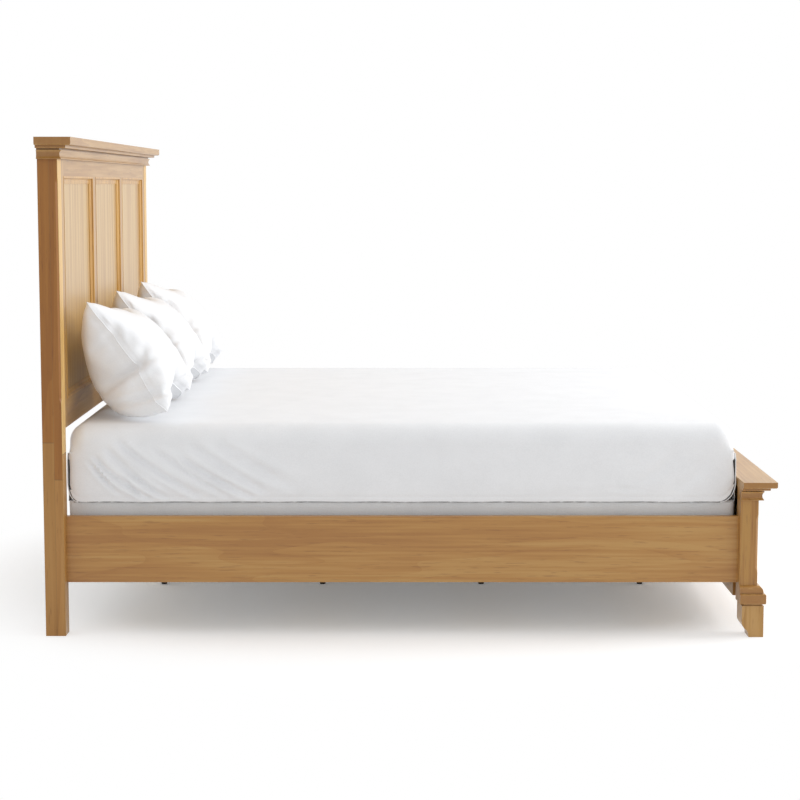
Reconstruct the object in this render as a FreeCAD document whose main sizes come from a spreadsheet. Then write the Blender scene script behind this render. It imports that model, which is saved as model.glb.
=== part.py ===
import FreeCAD, Part
import math
import os

import Sketcher
from FreeCAD import Placement, Rotation, Vector

# A king-size panel bed with its foundation, mattress, fitted sheet and pillows.
# Millimetres. +X runs from the headboard to the footboard, +Y to the right of someone
# who faces the bed from its foot, +Z up. The origin is on the floor, at the middle of
# the bed's length and width.

DOCUMENT = FreeCAD.newDocument("PanelBed")
SIDES = ("left", "right")
BAYS = ("left", "center", "right")

# Driving dimensions: alias, value, meaning.
SIZES = [
    ("rail_length", 2060, "between the head posts and the foot posts"),
    ("bed_width", 2080, "over the outer faces of the posts"),
    ("slip", 0.2, "play of a tongue, tenon or plate in its recess"),
    ("seat_gap", 0.3, "between a loose piece and what carries it"),
    # Cap boards and mouldings
    ("cap_overhang", 48, "cap board beyond the post faces"),
    ("head_cap_thick", 24, "cap board on the headboard"),
    ("foot_cap_thick", 18.5, "cap board on the footboard"),
    ("cap_round", 6, "rounded lower edge of a cap board"),
    ("fillet_overhang", 30, "thin board under the cap, beyond the post faces"),
    ("fillet_thick", 9, "thin board under the cap"),
    ("fillet_round", 3, "rounded edge of the thin board"),
    ("neck_high", 32, "hollow moulding under the thin board"),
    ("neck_depth", 15, "projection of the hollow moulding"),
    ("neck_bead", 3.5, "bead at the foot of the hollow moulding"),
    ("neck_bead_back", 3, "how far that bead stands behind the brow"),
    ("neck_hollow", 4.8, "depth of the hollow"),
    ("neck_quirk", 5, "sunk band over the brow"),
    ("neck_quirk_deep", 7, "depth of the sunk band"),
    ("base_high", 55, "base moulding of the footboard"),
    ("base_depth", 24, "projection of the base moulding"),
    ("base_face", 31, "face of the base moulding with its rounded edges"),
    ("base_round", 4, "rounded edges of that face"),
    ("base_quirk", 1.5, "height of the sunk line over that face"),
    ("base_quirk_deep", 2.5, "depth of the sunk line"),
    ("base_upper_depth", 16.5, "projection of the rounded member over the sunk line"),
    ("base_upper_face", 6, "upright part of the rounded member"),
    ("base_upper_swell", 4, "fullness of the rounded member"),
    ("base_lip", 1, "thin upper edge of the base moulding"),
    # Headboard
    ("head_high", 1516, "floor to the top of the headboard cap"),
    ("head_post_thick", 61, "head post along the bed"),
    ("head_post_width", 65, "head post across the bed"),
    ("post_ease", 1.2, "bevelled corners of a post"),
    ("chamfer_size", 7, "stopped chamfer on the outer front edge of a post"),
    ("chamfer_tip", 0.3, "width of a stopped chamfer at its very end"),
    ("chamfer_runout", 18, "run-out at each end of a stopped chamfer"),
    ("head_chamfer_low", 712, "start of the chamfer on a head post"),
    ("head_chamfer_stop", 51, "end of that chamfer below the hollow moulding"),
    ("head_frame_low", 634, "underside of the headboard frame"),
    ("head_opening_low", 720, "lower edge of the headboard openings"),
    ("head_frieze", 50, "plain band from the hollow moulding to the headboard openings"),
    # Frames of the headboard and footboard
    ("frame_thick", 27, "stiles, rails and mullions"),
    ("frame_setback", 1.2, "frame face behind the post face"),
    ("stile_width", 50, "stile inside each post"),
    ("mullion_width", 55, "upright between two panels"),
    ("panel_thick", 8, "flat panel"),
    ("panel_recess", 12, "panel face behind the frame face"),
    ("tongue", 10, "panel edge held in its groove"),
    ("tenon_long", 30, "stub tenon"),
    ("tenon_inset", 14, "shoulder above and below a tenon"),
    ("moulding_width", 24, "moulding round a panel"),
    ("moulding_edge", 2, "edge of that moulding on its panel"),
    ("moulding_bead", 5, "bead along that edge"),
    ("moulding_bead_high", 3.6, "top of that bead over the panel"),
    ("moulding_hollow", 2.4, "depth of the hollow"),
    ("moulding_rim", 7, "bead along the frame"),
    ("moulding_rim_high", 4.3, "height of the bead along the frame"),
    ("moulding_rim_round", 3, "rounded edge of the bead along the frame"),
    ("moulding_proud", 0.8, "bead in front of the frame face"),
    # Footboard
    ("foot_high", 481.5, "floor to the top of the footboard cap"),
    ("foot_post_thick", 55, "foot post along the bed"),
    ("foot_post_width", 64, "foot post across the bed"),
    ("foot_chamfer_low", 196, "start of the chamfer on a foot post"),
    ("foot_chamfer_stop", 42, "end of that chamfer below the hollow moulding"),
    ("foot_base", 103, "underside of the footboard"),
    ("foot_opening_low", 203, "lower edge of the footboard openings"),
    ("foot_frieze", 51, "plain band from the hollow moulding to the footboard openings"),
    # Bracket feet
    ("block_thick", 66, "bracket foot along the bed"),
    ("block_width", 90, "bracket foot across the bed"),
    ("block_proud", 18.5, "bracket foot in front of the post face"),
    ("block_out", 14, "bracket foot beyond the outer face of the post"),
    ("block_knee", 50, "height where the inner sides of the foot start to curve"),
    ("block_waist", 21, "how far the inner sides curve in at the floor"),
    ("block_reveal", 6, "height of the shadow line over the foot"),
    ("reveal_depth", 5, "depth of the shadow line over the foot"),
    # Side rails and slats
    ("rail_low", 160.5, "underside of a side rail"),
    ("rail_high", 205, "side rail, bottom to top"),
    ("rail_thick", 25, "side rail"),
    ("rail_inset", 34, "outer face of a rail inside the outer face of the posts"),
    ("rail_ease", 1.5, "bevelled edges of a side rail"),
    ("ledger_size", 25, "square strip inside each rail"),
    ("slat_thick", 20, "cross slat"),
    ("slat_width", 90, "cross slat"),
    ("slat_end", 206.5, "middle of the first and last slat from the posts"),
    ("slat_count", 4, "cross slats"),
    ("leg_size", 38, "square support leg"),
    ("leg_spread", 240, "support leg from the bed's centre line"),
    ("leg_low", 12, "underside of a support leg"),
    # Levelling glides
    ("glide_wide", 20, "hexagonal foot of a glide, corner to corner"),
    ("glide_high", 10.2, "foot of a glide"),
    ("stem_wide", 6, "diameter of the stem of a glide"),
    ("stem_long", 24, "stem of a glide"),
    ("stem_play", 0.1, "radial play of a stem or a screw in its hole"),
    ("insert_wide", 10, "diameter of the threaded insert"),
    ("insert_high", 14, "threaded insert"),
    # Knock-down joint of the rails
    ("plate_long", 150, "steel plate of the rail joint"),
    ("plate_wide", 18, "steel plate of the rail joint"),
    ("plate_thick", 3, "steel plate of the rail joint"),
    ("hook_reach", 13, "hook beyond its plate"),
    ("hook_drop", 12, "nose of a hook below its neck"),
    ("hook_tall", 30, "hook, top to nose"),
    ("hook_pitch", 60, "upper hook to lower hook"),
    ("hook_thick", 3.2, "hook, side to side"),
    ("hook_ease", 3.5, "slanted corners of a hook"),
    ("pocket_room", 2, "room round the hooks in a post"),
    # Screws
    ("screw_head", 8, "diameter of a countersunk head"),
    ("screw_shank", 4, "diameter of a screw"),
    ("head_deep", 2.4, "depth of a countersunk head"),
    ("wood_screw_long", 40, "screw through a slat or a ledger"),
    ("plate_screw_long", 28, "screw through a steel plate"),
    ("plate_screw_pitch", 134, "screw to screw on a plate"),
    ("ledger_screw_count", 4, "screws along each ledger"),
    ("ledger_screw_end", 90, "first and last ledger screw from the posts"),
    # Bedding
    ("foundation_end_gap", 17, "between the box spring and the posts"),
    ("foundation_side_gap", 16, "between the box spring and a side rail"),
    ("foundation_high", 202.5, "box spring"),
    ("foundation_round", 14, "upright corners of the box spring"),
    ("foundation_rim", 4, "bevelled rims of the box spring"),
    ("mattress_end_gap", 7, "between the mattress and the posts"),
    ("mattress_side_gap", 13, "mattress inside the inner faces of the side rails"),
    ("mattress_high", 232, "mattress at its edge"),
    ("mattress_crown", 11, "rise of the mattress from its edge to its middle"),
    ("mattress_round", 52, "upper edges of the mattress"),
    ("mattress_low_bevel", 14, "lower edges of the mattress"),
    ("sheet_thick", 2.5, "fitted sheet"),
    ("hem_lift", 2, "hem of the fitted sheet above the underside of the mattress"),
    ("pillow_wide", 632, "pillow, seam to seam across the bed"),
    ("pillow_tall", 420, "pillow, seam to seam along its lean"),
    ("pillow_front", 82, "swell of a pillow in front of its seam"),
    ("pillow_back", 168, "swell of a pillow behind its seam"),
    ("pillow_corner", 26, "how far a pillow's corners stand beyond its drawn-in sides"),
    ("pillow_pitch", 634, "pillow to pillow"),
    ("pillow_lean_angle", 34, "degrees from upright"),
]


def size_sheet():
    """The spreadsheet with the driving dimensions."""
    sheet = DOCUMENT.addObject("Spreadsheet::Sheet", "Size")
    for row, (alias, value, meaning) in enumerate(SIZES, start=1):
        sheet.set(f"A{row}", alias)
        sheet.set(f"B{row}", str(value))
        sheet.set(f"C{row}", meaning)
        sheet.setAlias(f"B{row}", alias)
    DOCUMENT.recompute()
    return sheet


SHEET = size_sheet()

# Places worked out from the driving dimensions, as expressions on the sheet.
HEAD_BACK = "(-(Size.head_post_thick + Size.rail_length + Size.foot_post_thick + Size.cap_overhang) / 2)"
HEAD_FRONT = f"({HEAD_BACK} + Size.head_post_thick)"
FOOT_BACK = f"({HEAD_FRONT} + Size.rail_length)"
FOOT_FRONT = f"({FOOT_BACK} + Size.foot_post_thick)"
HALF_WIDTH = "(Size.bed_width / 2)"
HEAD_NECK_TOP = "(Size.head_high - Size.head_cap_thick - Size.fillet_thick)"
FOOT_NECK_TOP = "(Size.foot_high - Size.foot_cap_thick - Size.fillet_thick)"
HEAD_NECK_LOW = f"({HEAD_NECK_TOP} - Size.neck_high)"
FOOT_NECK_LOW = f"({FOOT_NECK_TOP} - Size.neck_high)"
HEAD_OPENING_HIGH = f"({HEAD_NECK_LOW} - Size.head_frieze)"
FOOT_OPENING_HIGH = f"({FOOT_NECK_LOW} - Size.foot_frieze)"
STILE_OUTER = f"({HALF_WIDTH} - Size.head_post_width)"
OPENING_HALF = f"({STILE_OUTER} - Size.stile_width)"
OPENING_WIDE = f"((2 * {OPENING_HALF} - 2 * Size.mullion_width) / 3)"
MULLION_NEAR = f"({OPENING_WIDE} / 2)"
RAIL_OUTER = f"({HALF_WIDTH} - Size.rail_inset)"
RAIL_INNER = f"({RAIL_OUTER} - Size.rail_thick)"
RAIL_MIDDLE = f"({RAIL_OUTER} - Size.rail_thick / 2)"
RAIL_CENTRE = f"({HEAD_FRONT} + Size.rail_length / 2)"
SLAT_PITCH = "((Size.rail_length - 2 * Size.slat_end) / (Size.slat_count - 1))"
SLAT_LOW = "(Size.rail_low + Size.ledger_size)"
SLAT_TOP = f"({SLAT_LOW} + Size.slat_thick)"
PLATE_MIDDLE = "(Size.rail_low + Size.rail_high / 2)"
FOUNDATION_LOW = f"({SLAT_TOP} + Size.seat_gap)"
FOUNDATION_LONG = "(Size.rail_length - 2 * Size.foundation_end_gap)"
FOUNDATION_WIDE = f"(2 * ({RAIL_INNER} - Size.foundation_side_gap))"
MATTRESS_LONG = "(Size.rail_length - 2 * Size.mattress_end_gap)"
MATTRESS_WIDE = f"(2 * ({RAIL_INNER} - Size.mattress_side_gap))"
MATTRESS_LOW = f"({FOUNDATION_LOW} + Size.foundation_high + Size.seat_gap)"
MATTRESS_TOP = f"({MATTRESS_LOW} + Size.mattress_high)"


def number(expression):
    """The value of an expression on the sheet."""
    return float(SHEET.evalExpression(str(expression)))


def minus(expression):
    return f"(-{expression})"


def mirrored(side, near, width):
    """Where a span starts in Y, whose nearest edge is `near` from the bed's centre line."""
    return near if side == "right" else f"(-({near}) - ({width}))"


def sign(side):
    return 1 if side == "right" else -1


# ---------------------------------------------------------------------------
# Ways to make a piece
# ---------------------------------------------------------------------------

PIECES = []


def keep(piece, label):
    """Name a finished piece after its node and list it."""
    piece.Label = label
    PIECES.append(piece)
    return piece


def box(start, size):
    """A block whose corner and sides are bound to expressions."""
    block = DOCUMENT.addObject("Part::Box", "Block")
    for side, expression in zip(("Length", "Width", "Height"), size):
        block.setExpression(side, str(expression))
    for axis, expression in zip("xyz", start):
        block.setExpression(f"Placement.Base.{axis}", str(expression))
    return block


def joined(shapes):
    """Several shapes fused into one solid."""
    union = DOCUMENT.addObject("Part::MultiFuse", "Union")
    union.Shapes = shapes
    union.Refine = True
    return union


def cut(base, tools):
    """A shape less every tool."""
    if not tools:
        return base
    group = DOCUMENT.addObject("Part::Compound", "Tools")
    group.Links = tools
    piece = DOCUMENT.addObject("Part::Cut", "Cut")
    piece.Base = base
    piece.Tool = group
    piece.Refine = True
    return piece


def made(shape, label=None):
    """A shape made with Part's own functions, as an object of the document."""
    piece = DOCUMENT.addObject("Part::Feature", "Made")
    piece.Shape = shape
    piece.Placement = shape.Placement
    if label:
        keep(piece, label)
    return piece


def origin_plane(body, role):
    return next(item for item in body.Origin.OriginFeatures if item.Role == role)


def rectangle(body, start, size, level):
    """A rectangle sketched on the body's XY plane at a level, with bound corners."""
    sketch = body.newObject("Sketcher::SketchObject", "Outline")
    sketch.AttachmentSupport = [(origin_plane(body, "XY_Plane"), "")]
    sketch.MapMode = "FlatFace"
    sketch.setExpression("AttachmentOffset.Base.z", level)
    low = [number(start[0]), number(start[1])]
    high = [low[0] + number(size[0]), low[1] + number(size[1])]
    corners = [(low[0], low[1]), (high[0], low[1]), (high[0], high[1]), (low[0], high[1])]
    for index, corner in enumerate(corners):
        following = corners[(index + 1) % 4]
        sketch.addGeometry(Part.LineSegment(Vector(*corner, 0), Vector(*following, 0)))
    for index in range(4):
        sketch.addConstraint(Sketcher.Constraint("Coincident", index, 2, (index + 1) % 4, 1))
    for index, kind in enumerate(("Horizontal", "Vertical", "Horizontal", "Vertical")):
        sketch.addConstraint(Sketcher.Constraint(kind, index))
    bounds = [
        ("low_x", "DistanceX", 0, low[0], start[0]),
        ("low_y", "DistanceY", 0, low[1], start[1]),
        ("high_x", "DistanceX", 2, high[0], f"{start[0]} + {size[0]}"),
        ("high_y", "DistanceY", 2, high[1], f"{start[1]} + {size[1]}"),
    ]
    for name, kind, line, value, expression in bounds:
        place = sketch.addConstraint(Sketcher.Constraint(kind, -1, 1, line, 1, value))
        sketch.renameConstraint(place, name)
        sketch.setExpression(f"Constraints.{name}", str(expression))
    return sketch


def dressed(body, kind, picked, size):
    """Round or bevel the edges of a body that a test picks. `kind` is Fillet or Chamfer."""
    DOCUMENT.recompute()
    base = body.Tip
    names = [f"Edge{index}" for index, edge in enumerate(base.Shape.Edges, start=1) if picked(edge)]
    feature = body.newObject(f"PartDesign::{kind}", "Eased")
    feature.Base = (base, names)
    feature.setExpression("Radius" if kind == "Fillet" else "Size", size)
    body.Tip = feature
    return body


def plank(start, size):
    """A padded rectangle."""
    body = DOCUMENT.addObject("PartDesign::Body", "Plank")
    pad = body.newObject("PartDesign::Pad", "Stock")
    pad.Profile = rectangle(body, start[:2], size[:2], start[2])
    pad.setExpression("Length", str(size[2]))
    return body


def along(axis):
    """A test for edges that run along an axis."""
    def test(edge):
        return abs(abs(edge.tangentAt(edge.FirstParameter).dot(axis)) - 1) < 1e-6
    return test


def bend(start, end, bulge):
    """The end of an arc and a point on it that stands `bulge` to the right of its chord."""
    along_y = end[0] - start[0]
    along_z = end[1] - start[1]
    chord = math.hypot(along_y, along_z)
    through_y = (start[0] + end[0]) / 2 + bulge * along_z / chord
    through_z = (start[1] + end[1]) / 2 - bulge * along_y / chord
    return end + (through_y, through_z)


def quarter(start, end):
    """The end of a quarter round and a point on it, which swells to the right."""
    radius = abs(end[0] - start[0])
    return bend(start, end, radius * (1 - math.sqrt(0.5)))


def profile_face(points):
    """A face in the YZ plane from corner points, with (y, z, through_y, through_z) for an arc."""
    edges = []
    for index, point in enumerate(points):
        start = points[index - 1]
        first = Vector(0, start[0], start[1])
        last = Vector(0, point[0], point[1])
        if len(point) == 4:
            edges.append(Part.Arc(first, Vector(0, point[2], point[3]), last).toShape())
        else:
            edges.append(Part.LineSegment(first, last).toShape())
    return Part.Face(Part.Wire(edges))


def stick(points, length, mitres):
    """A moulding along +X. Its back lies on Y = 0 and its profile stands out to +Y.

    `mitres` gives each end: 1 runs out to an outside corner, -1 in to an inside corner
    and 0 is square.
    """
    face = profile_face(points)
    depth = face.BoundBox.YMax
    low, high = face.BoundBox.ZMin, face.BoundBox.ZMax
    face.translate(Vector(-depth, 0, 0))
    bar = face.extrude(Vector(length + 2 * depth, 0, 0))
    plan = [
        Vector(0, 0, low),
        Vector(length, 0, low),
        Vector(length + mitres[1] * depth, depth, low),
        Vector(-mitres[0] * depth, depth, low),
    ]
    block = Part.Face(Part.makePolygon(plan + plan[:1])).extrude(Vector(0, 0, high - low))
    return bar.common(block).Solids[0]


# ---------------------------------------------------------------------------
# Thin round parts. There are so many that each has eight flats, which keeps them light.
# ---------------------------------------------------------------------------

FLATS = 8


def flats(radius, level):
    """An outline with eight flats round the Z axis."""
    corners = []
    for index in range(FLATS):
        turn = 2 * math.pi * index / FLATS
        corners.append(Vector(radius * math.cos(turn), radius * math.sin(turn), level))
    return Part.makePolygon(corners + corners[:1])


def rod(radius, low, high):
    """A thin round bar along Z, or its hole."""
    return Part.makeLoft([flats(radius, low), flats(radius, high)], True, True)



def screw(point, direction, length, play=0):
    """A countersunk screw, flush at a point and driven along a direction, or its hole if it has play."""
    head = number("Size.screw_head") / 2 + play
    shank = number("Size.screw_shank") / 2 + play
    outlines = [flats(head, 0), flats(shank, number("Size.head_deep")), flats(shank, length + play)]
    solid = Part.makeLoft(outlines, True, True)
    solid.Placement = Placement(point, Rotation(Vector(0, 0, 1), direction))
    return solid


def slat_centre(index):
    """The middle of a slat along the bed, as an expression."""
    return f"({HEAD_FRONT} + Size.slat_end + {index} * {SLAT_PITCH})"


def leg_places():
    """The middle of each support leg, slat by slat, as expressions."""
    places = []
    for index in range(int(number("Size.slat_count"))):
        for side in SIDES:
            places.append((slat_centre(index), f"({sign(side)} * Size.leg_spread)"))
    return places


def ledger_screws():
    """Point and direction of each screw through a ledger into its rail."""
    count = int(number("Size.ledger_screw_count"))
    first = number(f"{HEAD_FRONT} + Size.ledger_screw_end")
    pitch = number("Size.rail_length - 2 * Size.ledger_screw_end") / (count - 1)
    level = number("Size.rail_low + Size.ledger_size / 2")
    face = number(f"{RAIL_INNER} - Size.ledger_size")
    places = []
    for side in SIDES:
        for index in range(count):
            point = Vector(first + pitch * index, sign(side) * face, level)
            places.append((point, Vector(0, sign(side), 0)))
    return places


def slat_screws():
    """Point and direction of each screw down through a slat, into a ledger or a leg."""
    top = number(SLAT_TOP)
    reach = number(f"{RAIL_INNER} - Size.ledger_size / 2")
    spread = number("Size.leg_spread")
    places = []
    for index in range(int(number("Size.slat_count"))):
        centre = number(slat_centre(index))
        for side in SIDES:
            for across in (reach, spread):
                places.append((Vector(centre, sign(side) * across, top), Vector(0, 0, -1)))
    return places


def plate_joints():
    """Each rail joint: the point between its two plates and the way from rail to post."""
    level = number(PLATE_MIDDLE)
    joints = []
    for side in SIDES:
        across = sign(side) * number(RAIL_MIDDLE)
        joints.append((Vector(number(HEAD_FRONT), across, level), -1))
        joints.append((Vector(number(FOOT_BACK), across, level), 1))
    return joints


def plate_screws(outward):
    """Point and direction of each plate screw, into the rails (-1) or into the posts (1)."""
    half = number("Size.plate_screw_pitch") / 2
    places = []
    for middle, way in plate_joints():
        for offset in (-half, half):
            places.append((middle + Vector(0, 0, offset), Vector(way * outward, 0, 0)))
    return places


def wood_screw_hole():
    """Length and play of the hole for a long screw."""
    return number("Size.wood_screw_long"), number("Size.stem_play")


def plate_screw_hole():
    """Length and play of the hole for a plate screw."""
    return number("Size.plate_screw_long"), number("Size.stem_play")


def holes(places, size):
    """Screw holes as one tool."""
    return made(Part.makeCompound([screw(point, way, *size) for point, way in places]))


LEDGER_HOLES = holes(ledger_screws(), wood_screw_hole())
SLAT_HOLES = holes(slat_screws(), wood_screw_hole())
RAIL_PLATE_HOLES = holes(plate_screws(-1), plate_screw_hole())
POST_PLATE_HOLES = holes(plate_screws(1), plate_screw_hole())


def screws():
    """Every screw, as a group of separate solids: long ones in wood, short ones in the plates."""
    long = number("Size.wood_screw_long")
    short = number("Size.plate_screw_long")
    solids = [screw(point, way, long) for point, way in ledger_screws() + slat_screws()]
    solids += [screw(point, way, short) for point, way in plate_screws(-1) + plate_screws(1)]
    made(Part.makeCompound(solids), "screws")


# ---------------------------------------------------------------------------
# Knock-down joint between a rail and a post
# ---------------------------------------------------------------------------

def plate_block(way, into_post, play):
    """The steel plate's own space on the rail's or the post's side of each joint."""
    thick = number("Size.plate_thick")
    wide = number("Size.plate_wide") + 2 * play
    long = number("Size.plate_long") + 2 * play
    inward = way if into_post else -way
    block = Part.makeBox(thick, wide, long, Vector(0, -wide / 2, -long / 2))
    return block if inward > 0 else block.mirror(Vector(), Vector(1, 0, 0))


def hook_outline(play):
    """A hook in the XZ plane, on the side where X grows: a neck and a nose that drops."""
    reach = number("Size.hook_reach") + play
    neck = number("Size.plate_thick + Size.slip") - play
    ease = number("Size.hook_ease")
    top = number("Size.hook_tall") / 2 + play
    throat = number("Size.hook_drop") - top
    corners = [
        (0, top),
        (reach - ease, top),
        (reach, top - ease),
        (reach, ease - top),
        (reach - ease, -top),
        (neck, -top),
        (neck, throat),
        (0, throat),
        (0, top),
    ]
    return [Vector(x, 0, z) for x, z in corners]


def hooks(way, play):
    """Both hooks of a plate, pointing the given way along X."""
    thick = number("Size.hook_thick") + 2 * play
    half = number("Size.hook_pitch") / 2
    face = Part.Face(Part.makePolygon(hook_outline(play)))
    face.translate(Vector(0, -thick / 2, 0))
    solids = []
    for level in (-half, half):
        hook = face.extrude(Vector(0, thick, 0))
        hook.translate(Vector(0, 0, level))
        solids.append(hook if way > 0 else hook.mirror(Vector(), Vector(1, 0, 0)))
    return solids


def hook_slots(way):
    """The two slots of a socket plate: tall enough to let a hook in before it drops."""
    play = number("Size.slip")
    wide = number("Size.hook_thick") + 2 * play
    tall = number("Size.hook_tall") + 2 * play
    deep = number("Size.plate_thick")
    half = number("Size.hook_pitch") / 2
    slots = []
    for level in (-half, half):
        low = level - tall / 2 + number("Size.hook_drop")
        slot = Part.makeBox(deep, wide, tall, Vector(0, -wide / 2, low))
        slots.append(slot if way > 0 else slot.mirror(Vector(), Vector(1, 0, 0)))
    return slots


def hook_pocket(way):
    """The room in a post behind its socket plate, where the hooks enter and drop."""
    room = number("Size.pocket_room")
    deep = number("Size.hook_reach") + room
    wide = number("Size.hook_thick") + 2 * room
    reach = number("Size.hook_pitch / 2 + Size.hook_tall / 2")
    long = 2 * reach + number("Size.hook_drop") + 2 * room
    pocket = Part.makeBox(deep, wide, long, Vector(0, -wide / 2, -reach - room))
    return pocket if way > 0 else pocket.mirror(Vector(), Vector(1, 0, 0))


def rail_joint():
    """The four hook plates in the rail ends and the four socket plates in the posts."""
    hook_plates = []
    socket_plates = []
    rail_screws = Part.makeCompound(RAIL_PLATE_HOLES.Shape.Solids)
    post_screws = Part.makeCompound(POST_PLATE_HOLES.Shape.Solids)
    for middle, way in plate_joints():
        plate = plate_block(way, False, 0).multiFuse(hooks(way, 0)).removeSplitter()
        plate.translate(middle)
        hook_plates.append(plate.cut(rail_screws).Solids[0])
        socket = plate_block(way, True, 0).cut(hook_slots(way))
        socket.translate(middle)
        socket_plates.append(socket.cut(post_screws).Solids[0])
    made(Part.makeCompound(hook_plates), "rail_hook_plates")
    made(Part.makeCompound(socket_plates), "post_socket_plates")


def joint_recesses(into_post):
    """What the plates and hooks take out of the rails or the posts."""
    play = number("Size.slip")
    shapes = []
    for middle, way in plate_joints():
        parts = [plate_block(way, into_post, play)]
        if into_post:
            parts.append(hook_pocket(way))
        for part in parts:
            part.translate(middle)
            shapes.append(part)
    return made(Part.makeCompound(shapes))


RAIL_RECESSES = joint_recesses(False)
POST_RECESSES = joint_recesses(True)


# ---------------------------------------------------------------------------
# Posts
# ---------------------------------------------------------------------------

def stopped_chamfer(side, front, low, high):
    """The prism that a chamfer takes off the outer front edge, with a run-out at each end."""
    size = number("Size.chamfer_size")
    tip = number("Size.chamfer_tip")
    runout = number("Size.chamfer_runout")
    edge_x = number(front)
    edge_y = sign(side) * number(HALF_WIDTH)
    low = number(low)
    high = number(high)
    beyond = size
    wires = []
    for level, leg in ((low, tip), (low + runout, size), (high - runout, size), (high, tip)):
        points = [
            Vector(edge_x + beyond, edge_y + sign(side) * beyond, level),
            Vector(edge_x - leg, edge_y + sign(side) * beyond, level),
            Vector(edge_x - leg, edge_y, level),
            Vector(edge_x, edge_y - sign(side) * leg, level),
            Vector(edge_x + beyond, edge_y - sign(side) * leg, level),
        ]
        wires.append(Part.makePolygon(points + points[:1]))
    return made(Part.makeLoft(wires, True, True))


def post(label, side, back, thick, width, low, high, chamfer):
    """A square post with bevelled corners, a stopped chamfer and the recesses of the rail joint."""
    near = f"({HALF_WIDTH} - {width})"
    stock = plank((back, mirrored(side, near, width), low), (thick, width, f"({high} - {low})"))
    dressed(stock, "Chamfer", along(Vector(0, 0, 1)), "Size.post_ease")
    taken = stopped_chamfer(side, f"({back} + {thick})", *chamfer)
    keep(cut(stock, [taken, POST_RECESSES, POST_PLATE_HOLES]), f"{label}_{side}")


def posts():
    for side in SIDES:
        post(
            "head_post", side, HEAD_BACK, "Size.head_post_thick", "Size.head_post_width",
            "0", HEAD_NECK_TOP, ("Size.head_chamfer_low", f"({HEAD_NECK_LOW} - Size.head_chamfer_stop)"),
        )
        post(
            "foot_post", side, FOOT_BACK, "Size.foot_post_thick", "Size.foot_post_width",
            "Size.foot_base", FOOT_NECK_TOP,
            ("Size.foot_chamfer_low", f"({FOOT_NECK_LOW} - Size.foot_chamfer_stop)"),
        )


# ---------------------------------------------------------------------------
# Panelled frames of the headboard and the footboard
# ---------------------------------------------------------------------------

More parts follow.
